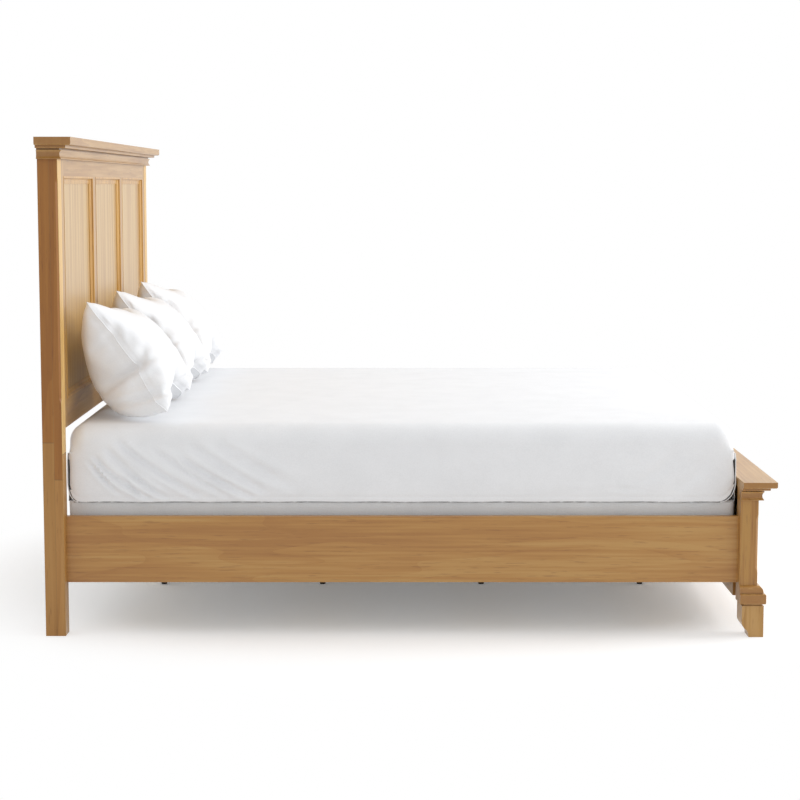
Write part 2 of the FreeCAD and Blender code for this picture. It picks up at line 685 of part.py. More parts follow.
class PanelledFrame:
    """Stiles, rails and mullions with grooved-in panels and mitred mouldings."""

    def __init__(self, name, post_front, post_width, low, opening_low, opening_high, high):
        self.name = name
        self.low = low
        self.high = high
        self.opening_low = opening_low
        self.opening_high = opening_high
        self.stile_outer = f"({HALF_WIDTH} - {post_width})"
        self.stile_wide = f"({self.stile_outer} - {OPENING_HALF})"
        self.front = f"({post_front} - Size.frame_setback)"
        self.back = f"({self.front} - Size.frame_thick)"
        self.panel_front = f"({self.front} - Size.panel_recess)"
        self.panel_back = f"({self.panel_front} - Size.panel_thick)"

    def member(self, across, wide, low, high, back=None):
        """A plain member of the frame, back to front."""
        thick = "Size.frame_thick" if back is None else f"({self.front} - {back})"
        return box((back or self.back, across, low), (thick, wide, f"({high} - {low})"))

    def tenon(self, across, wide, low, high, play="0"):
        """A stub tenon in line with the panels, or its mortise if it has play."""
        start = (f"({self.panel_back} - {play})", f"({across} - {play})", f"({low} - {play})")
        size = (
            f"(Size.panel_thick + 2 * {play})",
            f"({wide} + 2 * {play})",
            f"({high} - {low} + 2 * {play})",
        )
        return box(start, size)

    def bay_start(self, bay):
        """Where the opening of a bay starts in Y."""
        step = BAYS.index(bay)
        return f"(-{OPENING_HALF} + {step} * ({OPENING_WIDE} + Size.mullion_width))"

    def panel_block(self, bay, play="0"):
        """A panel with its tongues, or the groove round it if it has play."""
        reach = f"(Size.tongue + {play})"
        start = (
            f"({self.panel_back} - {play})",
            f"({self.bay_start(bay)} - {reach})",
            f"({self.opening_low} - {reach})",
        )
        size = (
            f"(Size.panel_thick + 2 * {play})",
            f"({OPENING_WIDE} + 2 * {reach})",
            f"({self.opening_high} - {self.opening_low} + 2 * {reach})",
        )
        return box(start, size)

    def rail_tenons(self, play="0"):
        """The tenons at both ends of both rails."""
        spans = [
            (f"({self.low} + Size.tenon_inset)", f"({self.opening_low} - Size.tenon_inset)"),
            (f"({self.opening_high} + Size.tenon_inset)", f"({self.high} - Size.tenon_inset)"),
        ]
        tenons = []
        for low, high in spans:
            for side in SIDES:
                across = mirrored(side, OPENING_HALF, "Size.tenon_long")
                tenons.append((low, self.tenon(across, "Size.tenon_long", low, high, play)))
        return [item for _, item in tenons[:2]], [item for _, item in tenons[2:]]

    def mullion_tenons(self, side, play="0"):
        """The tenons at the foot and head of a mullion."""
        near = f"({MULLION_NEAR} + Size.tenon_inset)"
        wide = "(Size.mullion_width - 2 * Size.tenon_inset)"
        across = mirrored(side, near, wide)
        below = self.tenon(across, wide, f"({self.opening_low} - Size.tenon_long)", self.opening_low, play)
        above = self.tenon(across, wide, self.opening_high, f"({self.opening_high} + Size.tenon_long)", play)
        return [below, above]

    def build(self, bottom_back=None):
        """Make every piece of the frame."""
        grooves = [self.panel_block(bay, "Size.slip") for bay in BAYS]
        low_mortises, high_mortises = self.rail_tenons("Size.slip")
        low_tenons, high_tenons = self.rail_tenons()
        for side in SIDES:
            across = mirrored(side, OPENING_HALF, self.stile_wide)
            stile = self.member(across, self.stile_wide, self.low, self.high)
            tools = grooves + low_mortises + high_mortises
            keep(cut(stile, tools), f"{self.name}_stile_{side}")
        inner_mortises = []
        for side in SIDES:
            upright = self.member(
                mirrored(side, MULLION_NEAR, "Size.mullion_width"), "Size.mullion_width",
                self.opening_low, self.opening_high,
            )
            keep(cut(joined([upright] + self.mullion_tenons(side)), grooves), f"{self.name}_mullion_{side}")
            inner_mortises += self.mullion_tenons(side, "Size.slip")
        wide = f"(2 * {OPENING_HALF})"
        rails = [
            ("bottom", self.low, self.opening_low, low_tenons, bottom_back),
            ("top", self.opening_high, self.high, high_tenons, None),
        ]
        for place, low, high, tenons, back in rails:
            stock = self.member(minus(OPENING_HALF), wide, low, high, back)
            rail = joined([stock] + tenons)
            keep(cut(rail, grooves + inner_mortises), f"{self.name}_{place}_rail")
        for bay in BAYS:
            keep(self.panel_block(bay), f"{self.name}_panel_{bay}")
        self.mouldings()

    def mouldings(self):
        """Four mitred sticks round each panel, all in one node."""
        wide = number(OPENING_WIDE)
        low = number(self.opening_low)
        high = number(self.opening_high)
        front = number(self.panel_front)
        turn = Rotation(Vector(1, 1, 1), 120)
        sticks = []
        for bay in BAYS:
            left = number(self.bay_start(bay))
            corners = [(left, low), (left + wide, low), (left + wide, high), (left, high)]
            for index, (across, level) in enumerate(corners):
                length = wide if index % 2 == 0 else high - low
                solid = stick(panel_moulding_profile(), length, (-1, -1))
                rotation = Rotation(Vector(1, 0, 0), 90 * index).multiply(turn)
                solid.Placement = Placement(Vector(front, across, level), rotation)
                sticks.append(solid)
        made(Part.makeCompound(sticks), f"{self.name}_panel_mouldings")


def panel_moulding_profile():
    """A bead at the frame, a hollow, then a small bead on the panel."""
    wide = number("Size.moulding_width")
    rim = number("Size.moulding_rim")
    top = number("Size.panel_recess + Size.moulding_proud")
    rounded = number("Size.moulding_rim_round")
    foot = (wide, number("Size.moulding_edge"))
    bead = (wide - number("Size.moulding_bead"), number("Size.moulding_bead_high"))
    rim_foot = (rim, top - number("Size.moulding_rim_high"))
    rim_side = (rim, top - rounded)
    rim_top = (rim - rounded, top)
    return [
        (0, 0),
        (wide, 0),
        foot,
        bead,
        bend(bead, rim_foot, -number("Size.moulding_hollow")),
        rim_side,
        quarter(rim_side, rim_top),
        (0, top),
    ]


# ---------------------------------------------------------------------------
# Mouldings and boards on top of the headboard and footboard
# ---------------------------------------------------------------------------

def neck_profile():
    """A bead at the foot, a hollow face that turns out to a brow, and a sunk band above."""
    high = number("Size.neck_high")
    deep = number("Size.neck_depth")
    bead = number("Size.neck_bead")
    set_back = deep - number("Size.neck_bead_back")
    band = high - number("Size.neck_quirk")
    foot = (set_back, 0)
    waist = (set_back, bead)
    brow = (deep, band)
    sunk = deep - number("Size.neck_quirk_deep")
    return [
        (0, 0),
        foot,
        bend(foot, waist, bead * 0.4),
        bend(waist, brow, -number("Size.neck_hollow")),
        (sunk, band),
        (sunk, high),
        (0, high),
    ]


def base_profile():
    """A face with rounded edges, a sunk line, and a rounded member that runs back to the posts."""
    high = number("Size.base_high")
    deep = number("Size.base_depth")
    face = number("Size.base_face")
    rounded = number("Size.base_round")
    back = deep - rounded
    proud = number("Size.base_upper_depth")
    sunk = proud - number("Size.base_quirk_deep")
    seat = face + number("Size.base_quirk")
    shoulder = (proud, seat + number("Size.base_upper_face"))
    lip = (number("Size.base_lip"), high)
    return [
        (0, 0),
        (back, 0),
        quarter((back, 0), (deep, rounded)),
        (deep, face - rounded),
        quarter((deep, face - rounded), (back, face)),
        (sunk, face),
        (sunk, seat),
        (proud, seat),
        shoulder,
        bend(shoulder, lip, number("Size.base_upper_swell")),
        (0, high),
    ]


def wrapped_moulding(label, points, back, front, level):
    """A front stick and two end returns, mitred at the outer corners."""
    half = number(HALF_WIDTH)
    back = number(back)
    front = number(front)
    deep = front - back
    level = number(level)
    upright = Vector(0, 0, 1)
    face = stick(points, 2 * half, (1, 1))
    face.Placement = Placement(Vector(front, half, level), Rotation(upright, -90))
    left = stick(points, deep, (1, 0))
    left.Placement = Placement(Vector(front, -half, level), Rotation(upright, 180))
    right = stick(points, deep, (0, 1))
    right.Placement = Placement(Vector(back, half, level), Rotation())
    made(Part.makeCompound([face, left, right]), label)


def overhanging_board(label, back, front, overhang, level, thick, radius):
    """A board that overhangs the front and both ends, flush at the back."""
    start = (back, f"(-{HALF_WIDTH} - {overhang})", level)
    size = (f"({front} + {overhang} - {back})", f"(2 * {HALF_WIDTH} + 2 * {overhang})", thick)
    flush = number(back)
    low = number(level)

    def shows(edge):
        """The lower edges at the front and the ends."""
        middle = edge.CenterOfMass
        return abs(middle.z - low) < 1e-6 and middle.x > flush + 1e-6
    keep(dressed(plank(start, size), "Fillet", shows, radius), label)


def caps():
    heads = [
        ("headboard", HEAD_BACK, HEAD_FRONT, HEAD_NECK_TOP, "Size.head_cap_thick"),
        ("footboard", FOOT_BACK, FOOT_FRONT, FOOT_NECK_TOP, "Size.foot_cap_thick"),
    ]
    for name, back, front, level, thick in heads:
        neck_level = f"({level} - Size.neck_high)"
        wrapped_moulding(f"{name}_neck_moulding", neck_profile(), back, front, neck_level)
        overhanging_board(
            f"{name}_cap_fillet", back, front, "Size.fillet_overhang",
            level, "Size.fillet_thick", "Size.fillet_round",
        )
        top = f"({level} + Size.fillet_thick)"
        overhanging_board(f"{name}_cap", back, front, "Size.cap_overhang", top, thick, "Size.cap_round")
    wrapped_moulding("footboard_base_moulding", base_profile(), FOOT_BACK, FOOT_FRONT, "Size.foot_base")


# ---------------------------------------------------------------------------
# Bracket feet
# ---------------------------------------------------------------------------

def bracket_side(length, start, high):
    """A side of the foot in the YZ plane: straight outside, S-curved inside, towards -Y."""
    knee = number("Size.block_knee")
    waist = number("Size.block_waist")
    middle = knee / 2
    return [
        (start, high),
        (start, knee),
        (start + waist / 2, middle, start + waist * 0.13, middle + knee * 0.2),
        (start + waist, 0, start + waist * 0.87, middle - knee * 0.2),
        (start + length, 0),
        (start + length, high),
    ]


def foot_blocks():
    """Each foot is the part that two curved outlines share, with a shadow line on top."""
    high = number("Size.foot_base - Size.block_reveal")
    thick = number("Size.block_thick")
    wide = number("Size.block_width")
    reveal = number("Size.reveal_depth")
    front = number(f"{FOOT_FRONT} + Size.block_proud")
    outer = number(f"{HALF_WIDTH} + Size.block_out")
    for side in SIDES:
        lengthwise = profile_face(bracket_side(thick, -thick, high))
        lengthwise.rotate(Vector(), Vector(0, 0, 1), -90)
        lengthwise = lengthwise.extrude(Vector(0, -wide, 0))
        across = profile_face(bracket_side(wide, -wide, high))
        across = across.extrude(Vector(-thick, 0, 0))
        foot = lengthwise.common(across)
        top = Part.makeBox(
            thick - 2 * reveal, wide - 2 * reveal, number("Size.block_reveal"),
            Vector(reveal - thick, reveal - wide, high),
        )
        foot = foot.fuse(top).removeSplitter()
        if side == "left":
            foot = foot.mirror(Vector(), Vector(0, 1, 0))
        foot.translate(Vector(front, sign(side) * outer, 0))
        made(foot.Solids[0], f"foot_block_{side}")


# ---------------------------------------------------------------------------
# Side rails, ledgers, slats and their legs
# ---------------------------------------------------------------------------

def side_rails():
    for side in SIDES:
        start = (HEAD_FRONT, mirrored(side, RAIL_INNER, "Size.rail_thick"), "Size.rail_low")
        size = ("Size.rail_length", "Size.rail_thick", "Size.rail_high")
        stock = dressed(plank(start, size), "Chamfer", along(Vector(1, 0, 0)), "Size.rail_ease")
        keep(cut(stock, [RAIL_RECESSES, RAIL_PLATE_HOLES, LEDGER_HOLES]), f"side_rail_{side}")
        near = f"({RAIL_INNER} - Size.ledger_size)"
        start = (HEAD_FRONT, mirrored(side, near, "Size.ledger_size"), "Size.rail_low")
        strip = box(start, ("Size.rail_length", "Size.ledger_size", "Size.ledger_size"))
        keep(cut(strip, [LEDGER_HOLES, SLAT_HOLES]), f"rail_ledger_{side}")


def slats():
    """The cross slats lie on the ledgers, between the side rails."""
    half = f"({RAIL_INNER} - Size.slip)"
    for index in range(int(number("Size.slat_count"))):
        start = (f"({slat_centre(index)} - Size.slat_width / 2)", minus(half), SLAT_LOW)
        board = box(start, ("Size.slat_width", f"(2 * {half})", "Size.slat_thick"))
        keep(cut(board, [SLAT_HOLES]), f"slat_{index + 1}")


def legs():
    """Square legs, each bored for a threaded insert and the stem of a glide."""
    size = number("Size.leg_size")
    low = number("Size.leg_low")
    top = number(SLAT_LOW)
    barrel = number("Size.insert_wide") / 2
    bore = number("Size.stem_wide / 2 + Size.stem_play")
    insert_top = low + number("Size.insert_high")
    stem_top = number("Size.glide_high + Size.stem_long + Size.seat_gap")
    leg = Part.makeBox(size, size, top - low, Vector(-size / 2, -size / 2, low))
    drilled = screw(Vector(0, 0, number(SLAT_TOP)), Vector(0, 0, -1), *wood_screw_hole())
    leg = leg.cut([rod(barrel, low, insert_top), rod(bore, low, stem_top), drilled])
    insert = rod(barrel, low, insert_top).cut(rod(bore, low, insert_top))
    all_legs = []
    all_inserts = []
    for along_bed, across in leg_places():
        place = Vector(number(along_bed), number(across), 0)
        all_legs.append(leg.translated(place).Solids[0])
        all_inserts.append(insert.translated(place).Solids[0])
    made(Part.makeCompound(all_legs), "slat_legs")
    made(Part.makeCompound(all_inserts), "leg_inserts")


def glides():
    """Each glide is a hexagonal foot, which a spanner turns, with a stem that screws into its leg."""
    for index, (along_bed, across) in enumerate(leg_places(), start=1):
        foot = DOCUMENT.addObject("Part::Prism", "Foot")
        foot.Polygon = 6
        foot.setExpression("Circumradius", "Size.glide_wide / 2")
        foot.setExpression("Height", "Size.glide_high")
        stem = DOCUMENT.addObject("Part::Prism", "Stem")
        stem.Polygon = FLATS
        stem.setExpression("Circumradius", "Size.stem_wide / 2")
        stem.setExpression("Height", "Size.glide_high + Size.stem_long")
        for part in (foot, stem):
            part.setExpression("Placement.Base.x", along_bed)
            part.setExpression("Placement.Base.y", across)
        keep(joined([foot, stem]), f"leveling_glide_{index}")


# ---------------------------------------------------------------------------
# Foundation, mattress, fitted sheet and pillows
# ---------------------------------------------------------------------------

def foundation():
    """The box spring lies on the slats. Its upright corners are round and its rims bevelled."""
    start = (f"({RAIL_CENTRE} - {FOUNDATION_LONG} / 2)", minus(f"({FOUNDATION_WIDE} / 2)"), FOUNDATION_LOW)
    block = plank(start, (FOUNDATION_LONG, FOUNDATION_WIDE, "Size.foundation_high"))
    dressed(block, "Fillet", along(Vector(0, 0, 1)), "Size.foundation_round")

    def level(edge):
        """The edges of the two rims."""
        box_of_edge = edge.BoundBox
        return box_of_edge.ZLength < 1e-6
    keep(dressed(block, "Chamfer", level, "Size.foundation_rim"), "foundation")


def mattress_section(station, inset, grow):
    """A crowned section across the mattress, drawn in by an inset on every side.

    `grow` makes the whole section larger all round, for the fitted sheet.
    """
    taper = 1 - inset / (2 * number("Size.mattress_round"))
    half = number(MATTRESS_WIDE) / 2 - inset + grow
    low = number(MATTRESS_LOW) + inset / 2
    edge = number(MATTRESS_TOP) - inset + grow
    crown = edge + number("Size.mattress_crown") * taper
    upper = number("Size.mattress_round") * taper
    lower = number("Size.mattress_low_bevel") * taper
    corners = [
        (-half + lower, low),
        (half - lower, low),
        (half, low + lower),
        (half, edge - upper),
        quarter((half, edge - upper), (half - upper, edge)),
        (-half + upper, edge, 0, crown),
        quarter((-half + upper, edge), (-half, edge - upper)),
        (-half, low + lower),
    ]
    wire = profile_face(corners).OuterWire
    wire.translate(Vector(station, 0, 0))
    return wire


END_SHARES = (0.02, 0.2, 1.0)
END_FULLNESS = 3


def mattress_form(grow):
    """The mattress, lofted along the bed through its crowned sections.

    The sections near an end draw in along a curve that is fuller than a quarter round.
    """
    middle = number(RAIL_CENTRE)
    half = number(MATTRESS_LONG) / 2 + grow
    rounded = number("Size.mattress_round")
    stations = []
    for share in END_SHARES:
        inset = 1 - (1 - (1 - share) ** END_FULLNESS) ** (1 / END_FULLNESS)
        stations.append((half - share * rounded, inset * rounded))
    wires = [mattress_section(middle - place, inset, grow) for place, inset in stations]
    wires += [mattress_section(middle + place, inset, grow) for place, inset in reversed(stations)]
    return Part.makeLoft(wires, True, True)


def mattress():
    """The mattress, and the fitted sheet as a shell that is open underneath."""
    core = mattress_form(0)
    made(core, "mattress")
    gap = number("Size.seat_gap")
    thick = number("Size.sheet_thick")
    outer = mattress_form(gap + thick)
    inner = mattress_form(gap)
    low = number(MATTRESS_LOW) + number("Size.hem_lift")
    bounds = outer.BoundBox
    above = Part.makeBox(
        bounds.XLength + 2 * thick, bounds.YLength + 2 * thick, bounds.ZLength,
        Vector(bounds.XMin - thick, bounds.YMin - thick, low),
    )
    shell = outer.cut(inner).common(above)
    made(max(shell.Solids, key=lambda solid: solid.Volume), "fitted_sheet")


PILLOW_SCALES = (1, 0.97, 0.9, 0.78, 0.6, 0.36, 0.14)
SIDE_CHORDS = 6


def pillow_outline(scale, level):
    """Points round a pillow at a level through its thickness, in the pillow's own frame.

    X is through its thickness and Z along its lean. Each side is drawn in between its
    corners along a parabola.
    """
    wide = number("Size.pillow_wide") / 2 * scale
    tall = number("Size.pillow_tall") / 2 * scale
    drawn = number("Size.pillow_corner") / 2 * scale
    corners = [(-wide, -tall), (wide, -tall), (wide, tall), (-wide, tall)]
    inward = [(0, 1), (-1, 0), (0, -1), (1, 0)]
    points = []
    for index, (across, height) in enumerate(corners):
        following = corners[(index + 1) % 4]
        for step in range(SIDE_CHORDS):
            share = step / SIDE_CHORDS
            bow = 4 * drawn * share * (1 - share)
            points.append(Vector(
                level,
                across + (following[0] - across) * share + inward[index][0] * bow,
                height + (following[1] - height) * share + inward[index][1] * bow,
            ))
    return points


def skin(outlines):
    """A solid with flat facets between outlines that are scaled copies of one another."""
    rings = [outlines[0], outlines[-1]]
    for lower, upper in zip(outlines, outlines[1:]):
        for index, corner in enumerate(lower):
            following = (index + 1) % len(lower)
            rings.append([corner, lower[following], upper[following], upper[index]])
    shell = Part.makeShell([Part.Face(Part.makePolygon(ring + ring[:1])) for ring in rings])
    shell.sewShape()
    solid = Part.Solid(shell)
    if solid.Volume < 0:
        solid.reverse()
    return solid


def pillow_form():
    """A stuffed pillow, from its back through its seam to its front."""
    outlines = []
    for depth, scales in (
        (-number("Size.pillow_back"), reversed(PILLOW_SCALES)),
        (number("Size.pillow_front"), PILLOW_SCALES[1:]),
    ):
        for scale in scales:
            swell = (1 - scale ** 2.4) ** 0.55
            outlines.append(pillow_outline(scale, depth * swell))
    return skin(outlines)


def pillows():
    """Three pillows that lean back on the headboard."""
    form = pillow_form()
    form.rotate(Vector(), Vector(0, 1, 0), -number("Size.pillow_lean_angle"))
    grow = number("Size.sheet_thick + Size.seat_gap")
    span = number(f"{MATTRESS_WIDE} / 2 - Size.mattress_round") + grow
    corner = number("Size.pillow_wide") / 2
    crown = number("Size.mattress_crown") * (1 - (corner / span) ** 2)
    bed_top = number(MATTRESS_TOP) + grow + crown
    lift = bed_top + number("Size.seat_gap") - form.BoundBox.ZMin
    back = number(HEAD_FRONT) + number("Size.seat_gap") - form.BoundBox.XMin
    for index, bay in enumerate(BAYS):
        across = (index - 1) * number("Size.pillow_pitch")
        made(form.translated(Vector(back, across, lift)), f"pillow_{bay}")


# ---------------------------------------------------------------------------
# Build, check and write
# ---------------------------------------------------------------------------

def build():
    posts()
    PanelledFrame(
        "headboard", HEAD_FRONT, "Size.head_post_width", "Size.head_frame_low",
        "Size.head_opening_low", HEAD_OPENING_HIGH, HEAD_NECK_TOP,
    ).build()
    PanelledFrame(
        "footboard", FOOT_FRONT, "Size.foot_post_width", "Size.foot_base",
        "Size.foot_opening_low", FOOT_OPENING_HIGH, FOOT_NECK_TOP,
    ).build(bottom_back=FOOT_BACK)
    caps()
    foot_blocks()
    side_rails()
    slats()
    legs()
    glides()
    rail_joint()
    screws()
    foundation()
    mattress()
    pillows()


def check():
    """Stop if any object failed or any piece has no valid shape."""
    DOCUMENT.recompute()
    for item in DOCUMENT.Objects:
        if "Invalid" in item.State or "Error" in item.State:
            raise RuntimeError(f"{item.Label} failed: {item.State}")
    for piece in PIECES:
        if piece.Shape.isNull() or not piece.Shape.isValid():
            raise RuntimeError(f"{piece.Label} has no valid shape")


def write():
    """Write each piece to its own file."""
    os.makedirs("parts", exist_ok=True)
    for piece in PIECES:
        piece.Shape.exportStep(f"parts/{piece.Label}.step")
    print(len(PIECES), "pieces,", sum(len(piece.Shape.Solids) for piece in PIECES), "solids")


build()
check()
write()
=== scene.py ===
"""King-size oak panel bed with its box spring, mattress, fitted sheet and three pillows.

Metres. +X runs from the headboard to the footboard, +Z up. The side that the camera
sees is -Y. Every finished piece has its object at the origin and its place in its mesh.
"""

import logging
import math
from contextlib import contextmanager
from dataclasses import dataclass, field
from enum import Enum
from typing import Callable, Iterator

import bmesh
import bpy
import numpy as np
from mathutils import Euler, Matrix, Vector


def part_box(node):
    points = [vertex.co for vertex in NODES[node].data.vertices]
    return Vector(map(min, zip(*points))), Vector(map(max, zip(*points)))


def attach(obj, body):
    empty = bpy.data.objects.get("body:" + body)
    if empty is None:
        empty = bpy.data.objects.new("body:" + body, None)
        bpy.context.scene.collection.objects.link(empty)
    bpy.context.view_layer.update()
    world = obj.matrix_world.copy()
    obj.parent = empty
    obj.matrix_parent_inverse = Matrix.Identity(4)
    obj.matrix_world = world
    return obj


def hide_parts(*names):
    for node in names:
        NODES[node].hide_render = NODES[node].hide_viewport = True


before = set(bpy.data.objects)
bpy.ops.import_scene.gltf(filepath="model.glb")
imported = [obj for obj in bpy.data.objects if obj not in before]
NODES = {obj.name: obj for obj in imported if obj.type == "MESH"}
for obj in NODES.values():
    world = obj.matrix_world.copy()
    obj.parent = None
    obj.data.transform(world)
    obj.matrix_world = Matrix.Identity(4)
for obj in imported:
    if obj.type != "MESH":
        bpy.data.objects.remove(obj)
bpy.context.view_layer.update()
LOG = logging.getLogger("panel_bed")

MM = 0.001


# ---------------------------------------------------------------------------
# Small tools
# ---------------------------------------------------------------------------

def linear(colour: str) -> tuple[float, float, float, float]:
    """Turns an sRGB hex colour into the linear colour that a socket holds.

    Args:
        colour: six hex digits, such as "BF9260".

    Returns:
        Red, green, blue and an alpha of 1.
    """
    parts = []
    for start in (0, 2, 4):
        value = int(colour[start:start + 2], 16) / 255
        parts.append(value / 12.92 if value <= 0.04045 else ((value + 0.055) / 1.055) ** 2.4)
    return (*parts, 1.0)


def add_node(tree: bpy.types.NodeTree, kind: str, settings: dict | None = None,
             links: dict | None = None) -> bpy.types.Node:
    """Adds a node with its settings and its inputs.

    Args:
        tree: the node tree.
        kind: the node's type name.
        settings: the node's own properties.
        links: an input's name or number, and the value or output socket that feeds it.

    Returns:
        The new node.
    """
    node = tree.nodes.new(kind)
    for key, value in (settings or {}).items():
        setattr(node, key, value)
    for key, value in (links or {}).items():
        if isinstance(value, bpy.types.NodeSocket):
            tree.links.new(value, node.inputs[key])
        else:
            node.inputs[key].default_value = value
    return node


def ramp(tree: bpy.types.NodeTree, factor: bpy.types.NodeSocket, stops: dict) -> bpy.types.NodeSocket:
    """Adds a colour ramp.

    Args:
        tree: the node tree.
        factor: the output that drives it.
        stops: place and colour of each stop, in rising order.

    Returns:
        The ramp's colour output.
    """
    node = add_node(tree, "ShaderNodeValToRGB", links={"Fac": factor})
    points = node.color_ramp.elements
    while len(points) < len(stops):
        points.new(1.0)
    for point, (place, colour) in zip(points, stops.items()):
        point.position = place
        point.color = colour
    return node.outputs["Color"]


def grey(value: float) -> tuple[float, float, float, float]:
    """A grey stop of a ramp."""
    return (value, value, value, 1.0)


def select_only(piece: bpy.types.Object) -> None:
    """Makes one object the only one that is selected, and the active one."""
    bpy.ops.object.select_all(action="DESELECT")
    piece.select_set(True)
    bpy.context.view_layer.objects.active = piece


@contextmanager
def editing(piece: bpy.types.Object) -> Iterator[None]:
    """Edit mode on one object, with nothing selected at its start."""
    select_only(piece)
    bpy.ops.object.mode_set(mode="EDIT")
    bpy.ops.mesh.select_all(action="DESELECT")
    try:
        yield
    finally:
        bpy.ops.object.mode_set(mode="OBJECT")


def pick(piece: bpy.types.Object, kind: str, test: Callable) -> int:
    """Selects what passes a test, in edit mode, and nothing else.

    Args:
        piece: the object in edit mode.
        kind: "VERT", "EDGE" or "FACE".
        test: takes a bmesh element and says whether it is picked.

    Returns:
        How many were picked.
    """
    bpy.ops.mesh.select_mode(type=kind)
    bpy.ops.mesh.select_all(action="DESELECT")
    mesh = bmesh.from_edit_mesh(piece.data)
    rows = {"VERT": mesh.verts, "EDGE": mesh.edges, "FACE": mesh.faces}[kind]
    chosen = [element for element in rows if test(element)]
    for element in chosen:
        element.select_set(True)
    mesh.select_flush_mode()
    bmesh.update_edit_mesh(piece.data)
    return len(chosen)


def finish_modifier(piece: bpy.types.Object, kind: str, **settings: object) -> None:
    """Adds a modifier with its settings and applies it."""
    select_only(piece)
    modifier = piece.modifiers.new(kind.title(), kind)
    for key, value in settings.items():
        setattr(modifier, key, value)
    bpy.ops.object.modifier_apply(modifier=modifier.name)


def smooth(piece: bpy.types.Object, angle: float = 40) -> None:
    """Shades a piece smooth, with the edges sharper than the angle left sharp."""
    select_only(piece)
    bpy.ops.object.shade_smooth_by_angle(angle=math.radians(angle))


def points_of(piece: bpy.types.Object) -> np.ndarray:
    """The places of a mesh's vertices, one row each."""
    places = np.empty(len(piece.data.vertices) * 3)
    piece.data.vertices.foreach_get("co", places)
    return places.reshape(-1, 3)


def move_points(piece: bpy.types.Object, places: np.ndarray) -> None:
    """Puts a mesh's vertices at new places."""
    piece.data.vertices.foreach_set("co", places.ravel())
    piece.data.update()


def block(name: str, low: Vector, high: Vector) -> bpy.types.Object:
    """A cube that fills the space between two corners, with its object at the origin."""
    bpy.ops.object.select_all(action="DESELECT")
    bpy.ops.mesh.primitive_cube_add(size=1, location=(low + high) / 2)
    piece = bpy.context.active_object
    piece.name = name
    piece.scale = high - low
    bpy.ops.object.transform_apply(location=True, rotation=True, scale=True)
    return piece


def tube(name: str, line: list[Vector], radius: float, sides: int = 2) -> bpy.types.Object:
    """A closed cord along a line of points.

    Args:
        name: the piece's name.
        line: the points round the loop.
        radius: the cord's radius.
        sides: the bevel resolution of its section.

    Returns:
        The cord as a mesh.
    """
    data = bpy.data.curves.new(name, "CURVE")
    data.dimensions = "3D"
    data.bevel_depth = radius
    data.bevel_resolution = sides
    spline = data.splines.new("POLY")
    spline.points.add(len(line) - 1)
    for point, place in zip(spline.points, line):
        point.co = (*place, 1)
    spline.use_cyclic_u = True
    piece = bpy.data.objects.new(name, data)
    bpy.context.scene.collection.objects.link(piece)
    select_only(piece)
    bpy.ops.object.convert(target="MESH")
    piece = bpy.context.active_object
    piece.name = name
    smooth(piece, 60)
    return piece


def ease(value: np.ndarray) -> np.ndarray:
    """A smooth step from 0 to 1."""
    value = np.clip(value, 0, 1)
    return value * value * (3 - 2 * value)


def rim_line(low: Vector, high: Vector, radius: float, level: float, steps: int = 6) -> list[Vector]:
    """Points round a rectangle with rounded corners, at one level."""
    line = []
    for quarter, (x, y) in enumerate(((high.x, high.y), (low.x, high.y), (low.x, low.y), (high.x, low.y))):
        inward_x = -radius if x == high.x else radius
        inward_y = -radius if y == high.y else radius
        for step in range(steps + 1):
            angle = math.radians(90 * (quarter + step / steps))
            line.append(Vector((
                x + inward_x + radius * math.cos(angle),
                y + inward_y + radius * math.sin(angle),
                level,
            )))
    return line


# ---------------------------------------------------------------------------
# Finishes
# ---------------------------------------------------------------------------

class Grain(Enum):
    """Which way a board's grain runs, and the turn that lays it along local X."""

    LENGTHWISE = (0, 0, 0)
    CROSSWISE = (0, 0, -90)
    UPRIGHT = (0, 90, 0)

    def turn(self) -> Euler:
        """The turn as Euler angles."""
        return Euler([math.radians(angle) for angle in self.value])

    def axis(self) -> str:
        """The frame axis that the grain follows."""
        return {Grain.LENGTHWISE: "X", Grain.CROSSWISE: "Y", Grain.UPRIGHT: "Z"}[self]


def new_material(name: str) -> tuple[bpy.types.Material, bpy.types.NodeTree, bpy.types.Node]:
    """A new material, its tree and its Principled shader."""
    material = bpy.data.materials.new(name)
    material.use_nodes = True
    tree = material.node_tree
    return material, tree, tree.nodes["Principled BSDF"]


@dataclass(frozen=True)
class Lamella:
    """One strip of a post that is glued up from several, with its own tone.

    The strip starts at a place along X, in metres, and is made of two lengths that meet
    in a finger joint at a height.
    """

    start: float
    joint: float
    upper: str
    lower: str


